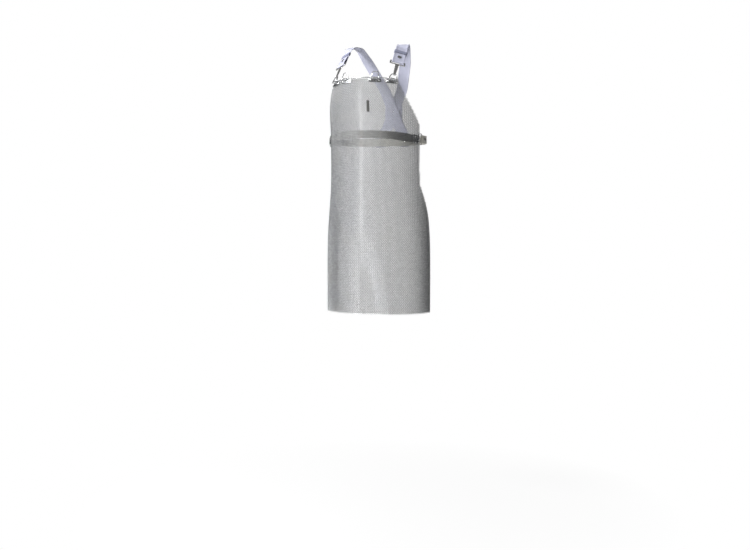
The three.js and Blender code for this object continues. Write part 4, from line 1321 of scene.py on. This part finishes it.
# %% Stitches along a line
def stitches(line, outward, length=2.6, gap=1.4, radius=0.28):
    gone = way_along(line)
    skins = []
    for start in np.arange(gap, gone[-1] - length, length + gap):
        at = np.linspace(start, start + length, 6)
        path = np.stack([np.interp(at, gone, line[:, i]) for i in range(3)], -1)
        path += outward * (0.22 * np.sin(np.linspace(0, math.pi, 6)) - 0.05)[:, None]
        swell = np.array([0.45, 0.9, 1, 1, 0.9, 0.45])
        skins.append(loft(tube(path, radius * swell, outward, 6)))
    return skins


def sewn(name, body, skins):
    made = new_object(name, skin_mesh(name, skins), "sewing thread")
    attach(made, body)
    print(name, "has", len(skins), "stitches")


# %% The patch and its rivet
CROSSING = frame_of([0, BACK_Y, CROSS_Z], [1, 0, 0], [0, 0, -1], [0, 1, 0])
PATCH_LOW = STRAP_LIFT + STRAP_THICK / 2 + SEAT
PATCH_TOP = PATCH_LOW + 1.5
PATCH_WIDTH = 62
PATCH_HEIGHT = 46
BORDER = 3
loops = plate(PATCH_WIDTH, PATCH_HEIGHT, 5, PATCH_TOP - PATCH_LOW, 0.5)
piece("cross_patch", [placed_loft([loop + [0, 0, PATCH_LOW] for loop in loops], CROSSING)], "strap coating")
piece("cross_rivet", [placed_loft(rivet(-STRAP_THICK / 2, PATCH_TOP), CROSSING)])
border = rounded_box(PATCH_WIDTH - 2 * BORDER, PATCH_HEIGHT - 2 * BORDER, 3, 2.0)
line = placed(np.column_stack([border, np.full(len(border), PATCH_TOP)]), CROSSING)
sewn("cross_patch_stitches", "apron", stitches(np.vstack([line, line[:1]]), CROSSING[:3, 2]))


# %% Rivets at the straps' lower ends
foot = on_form(-STRAP_END_S, SIDE_Z)
end_point = on_form(-STRAP_END_S, SIDE_Z, STRAP_END_OFF)
STRAP_END = frame_at(end_point, [0, 0, 1], end_point - foot)
END_RIVET = rivet(-STRAP_THICK / 2 - STRAP_END_GAP - BELT_THICK, STRAP_THICK / 2)
pair("strap_end_rivet", [placed_loft(END_RIVET, STRAP_END)])

# %% [markdown]
# ## The belt
# The front belt is riveted behind the mesh at both sides, under an anchor plate whose tongue curls
# round a long wire ring. The rear belt loops through that ring, folds back and closes with a press
# stud, so that the wearer can set its length.

# %% Belt sizes and lines
BELT_WIDTH = 25
BELT_Z = -287
BELT_DROP = 15
BELT_FRONT_HALF = 191
BELT_ON_FORM = 236
BELT_STUD = 18
BELT_SPAN = 4
ANCHOR_S = 181
ANCHOR_WIDTH = 18
ANCHOR_HEIGHT = 30
ANCHOR_RIVETS = 18
BELT_RING_WIDTH = 12
BELT_LOOP_R = WIRE_R + SLOT_PLAY + BELT_THICK / 2
BAR_S = ANCHOR_S + ANCHOR_WIDTH / 2 + KNUCKLE_R - KNUCKLE_WALL
RING_BAR_S = BAR_S + BELT_RING_WIDTH
TAIL_FROM_S = RING_BAR_S + LOOP_LEAD + SEAT + 0.4
BELT_TAIL = 44
BELT_SECTION = lipped(BELT_WIDTH, BELT_THICK, 1.6, 0.14)


def belt_z(s):
    return BELT_Z - BELT_DROP * np.minimum(1, (s / ANCHOR_S) ** 2)


def belt_point(s, lift=0.0):
    f = np.clip((s - RING_BAR_S) / (BELT_ON_FORM - RING_BAR_S), 0, 1)
    off = (KNUCKLE_OUT - BELT_LOOP_R) * (1 - f) + BELT_THICK / 2 * f
    return on_form(s, SIDE_Z, off + lift)


def belt_tail_point(s):
    f = np.clip((s - TAIL_FROM_S) / BELT_TAIL, 0, 1)
    return belt_point(s, 2 * BELT_LOOP_R * (1 - f) + (BELT_THICK + TAIL_LIFT) * f)


# %% Belt ring frames
foot = on_form(BAR_S, SIDE_Z)
bar_point = on_form(BAR_S, SIDE_Z, KNUCKLE_OUT)
BELT_RING = frame_at(bar_point, [0, 0, -1], bar_point - foot)
BELT_BAR = moved(BELT_RING, 0, BELT_RING_WIDTH, 0)
pair("belt_ring", [wire_ring(34, 34, BELT_RING_WIDTH, BELT_RING)])

# %% Front and rear belt
s = np.linspace(-BELT_FRONT_HALF, BELT_FRONT_HALF, 97)
line = on_form(s, belt_z(s), -INNER_GAP - BELT_THICK / 2)
piece("belt_front", [ribbon(line, [0, 0, 1], BELT_SECTION, wide=tongue(line, 5, True))], "belt webbing")
s = np.arange(RING_BAR_S + 6, half_round(SIDE_Z) - 1.5, 3.0)
half = np.vstack([loop_end(BELT_BAR, BELT_LOOP_R), belt_point(s)])
line = np.vstack([half, (half * [-1, 1, 1])[::-1]])
piece("belt_rear", [ribbon(line, [0, 0, 1], BELT_SECTION)], "belt webbing")

# %% Anchor plates and their rivets
droop = CORNER_DROOP * (ANCHOR_S / DROOP_OUT) ** 2
ANCHOR_T = (TOP_Z - droop - SIDE_Z) / (DRAPE_SHARE - droop / MAIL_LENGTH)
anchor = draped_plate(ANCHOR_S, ANCHOR_T, ANCHOR_WIDTH, ANCHOR_HEIGHT, 3, FRONT_OUT)
pair("anchor_plate", [anchor, curl(BELT_RING, 20)])
ANCHOR_RIVET = rivet(-INNER_GAP - BELT_THICK - 0.5, PLATE_TOP)
for number, way in ((1, -1), (2, 1)):
    bolt = mail_frame(ANCHOR_S, ANCHOR_T + way * ANCHOR_RIVETS / 2)
    pair(f"anchor_rivet_{number}", [placed_loft(ANCHOR_RIVET, bolt)])

# %% Belt tails and their studs
s = np.linspace(TAIL_FROM_S, TAIL_FROM_S + BELT_TAIL, 36)
line = belt_tail_point(s)
pair("belt_tail", [ribbon(line, [0, 0, 1], BELT_SECTION, wide=tongue(line, 6))], "belt webbing")


def stud_on(line_at):
    s = RING_BAR_S + BELT_STUD
    along = line_at(s + BELT_SPAN) - line_at(s - BELT_SPAN)
    return frame_at(line_at(s), [0, 0, 1], np.cross(along, [0, 0, 1]))


pair("belt_stud_cap", [placed_loft(stud_cap(BELT_THICK + SEAT), stud_on(belt_tail_point))])
pair("belt_stud_post", [placed_loft(stud_post(BELT_THICK + SEAT), stud_on(belt_point))])
print("belt length:", round(2 * half_round(SIDE_Z)), "mm round the waist")

# %% [markdown]
# ## The size label
# A narrow folded label is sewn through the mesh on the wearer's left. It is a plain dark cloth with
# five raised bars and no words. Two rows of thread hold its ends.

# %% Label
LABEL_S = 30
LABEL_T = 88
LABEL_THICK = 1.2
ROW_FROM_MIDDLE = 16.4
label = [draped_plate(LABEL_S, LABEL_T, 9, 36, 0.8, FRONT_OUT, LABEL_THICK)]
for step in np.linspace(-11, 11, 5):
    label.append(draped_plate(LABEL_S, LABEL_T + step, 6.4, 2.2, 0.5, FRONT_OUT + 1.0, 0.95))
piece("size_tag", label, "label cloth", sharp=50)
for name, t in (("top", LABEL_T - ROW_FROM_MIDDLE), ("low", LABEL_T + ROW_FROM_MIDDLE)):
    line = on_mail(np.linspace(LABEL_S - 4, LABEL_S + 4, 9), t, FRONT_OUT + LABEL_THICK)
    outward = mail_frame(LABEL_S, t)[:3, 2]
    sewn(f"label_stitches_{name}", "apron", stitches(line, outward, 1.3, 0.5, 0.17))
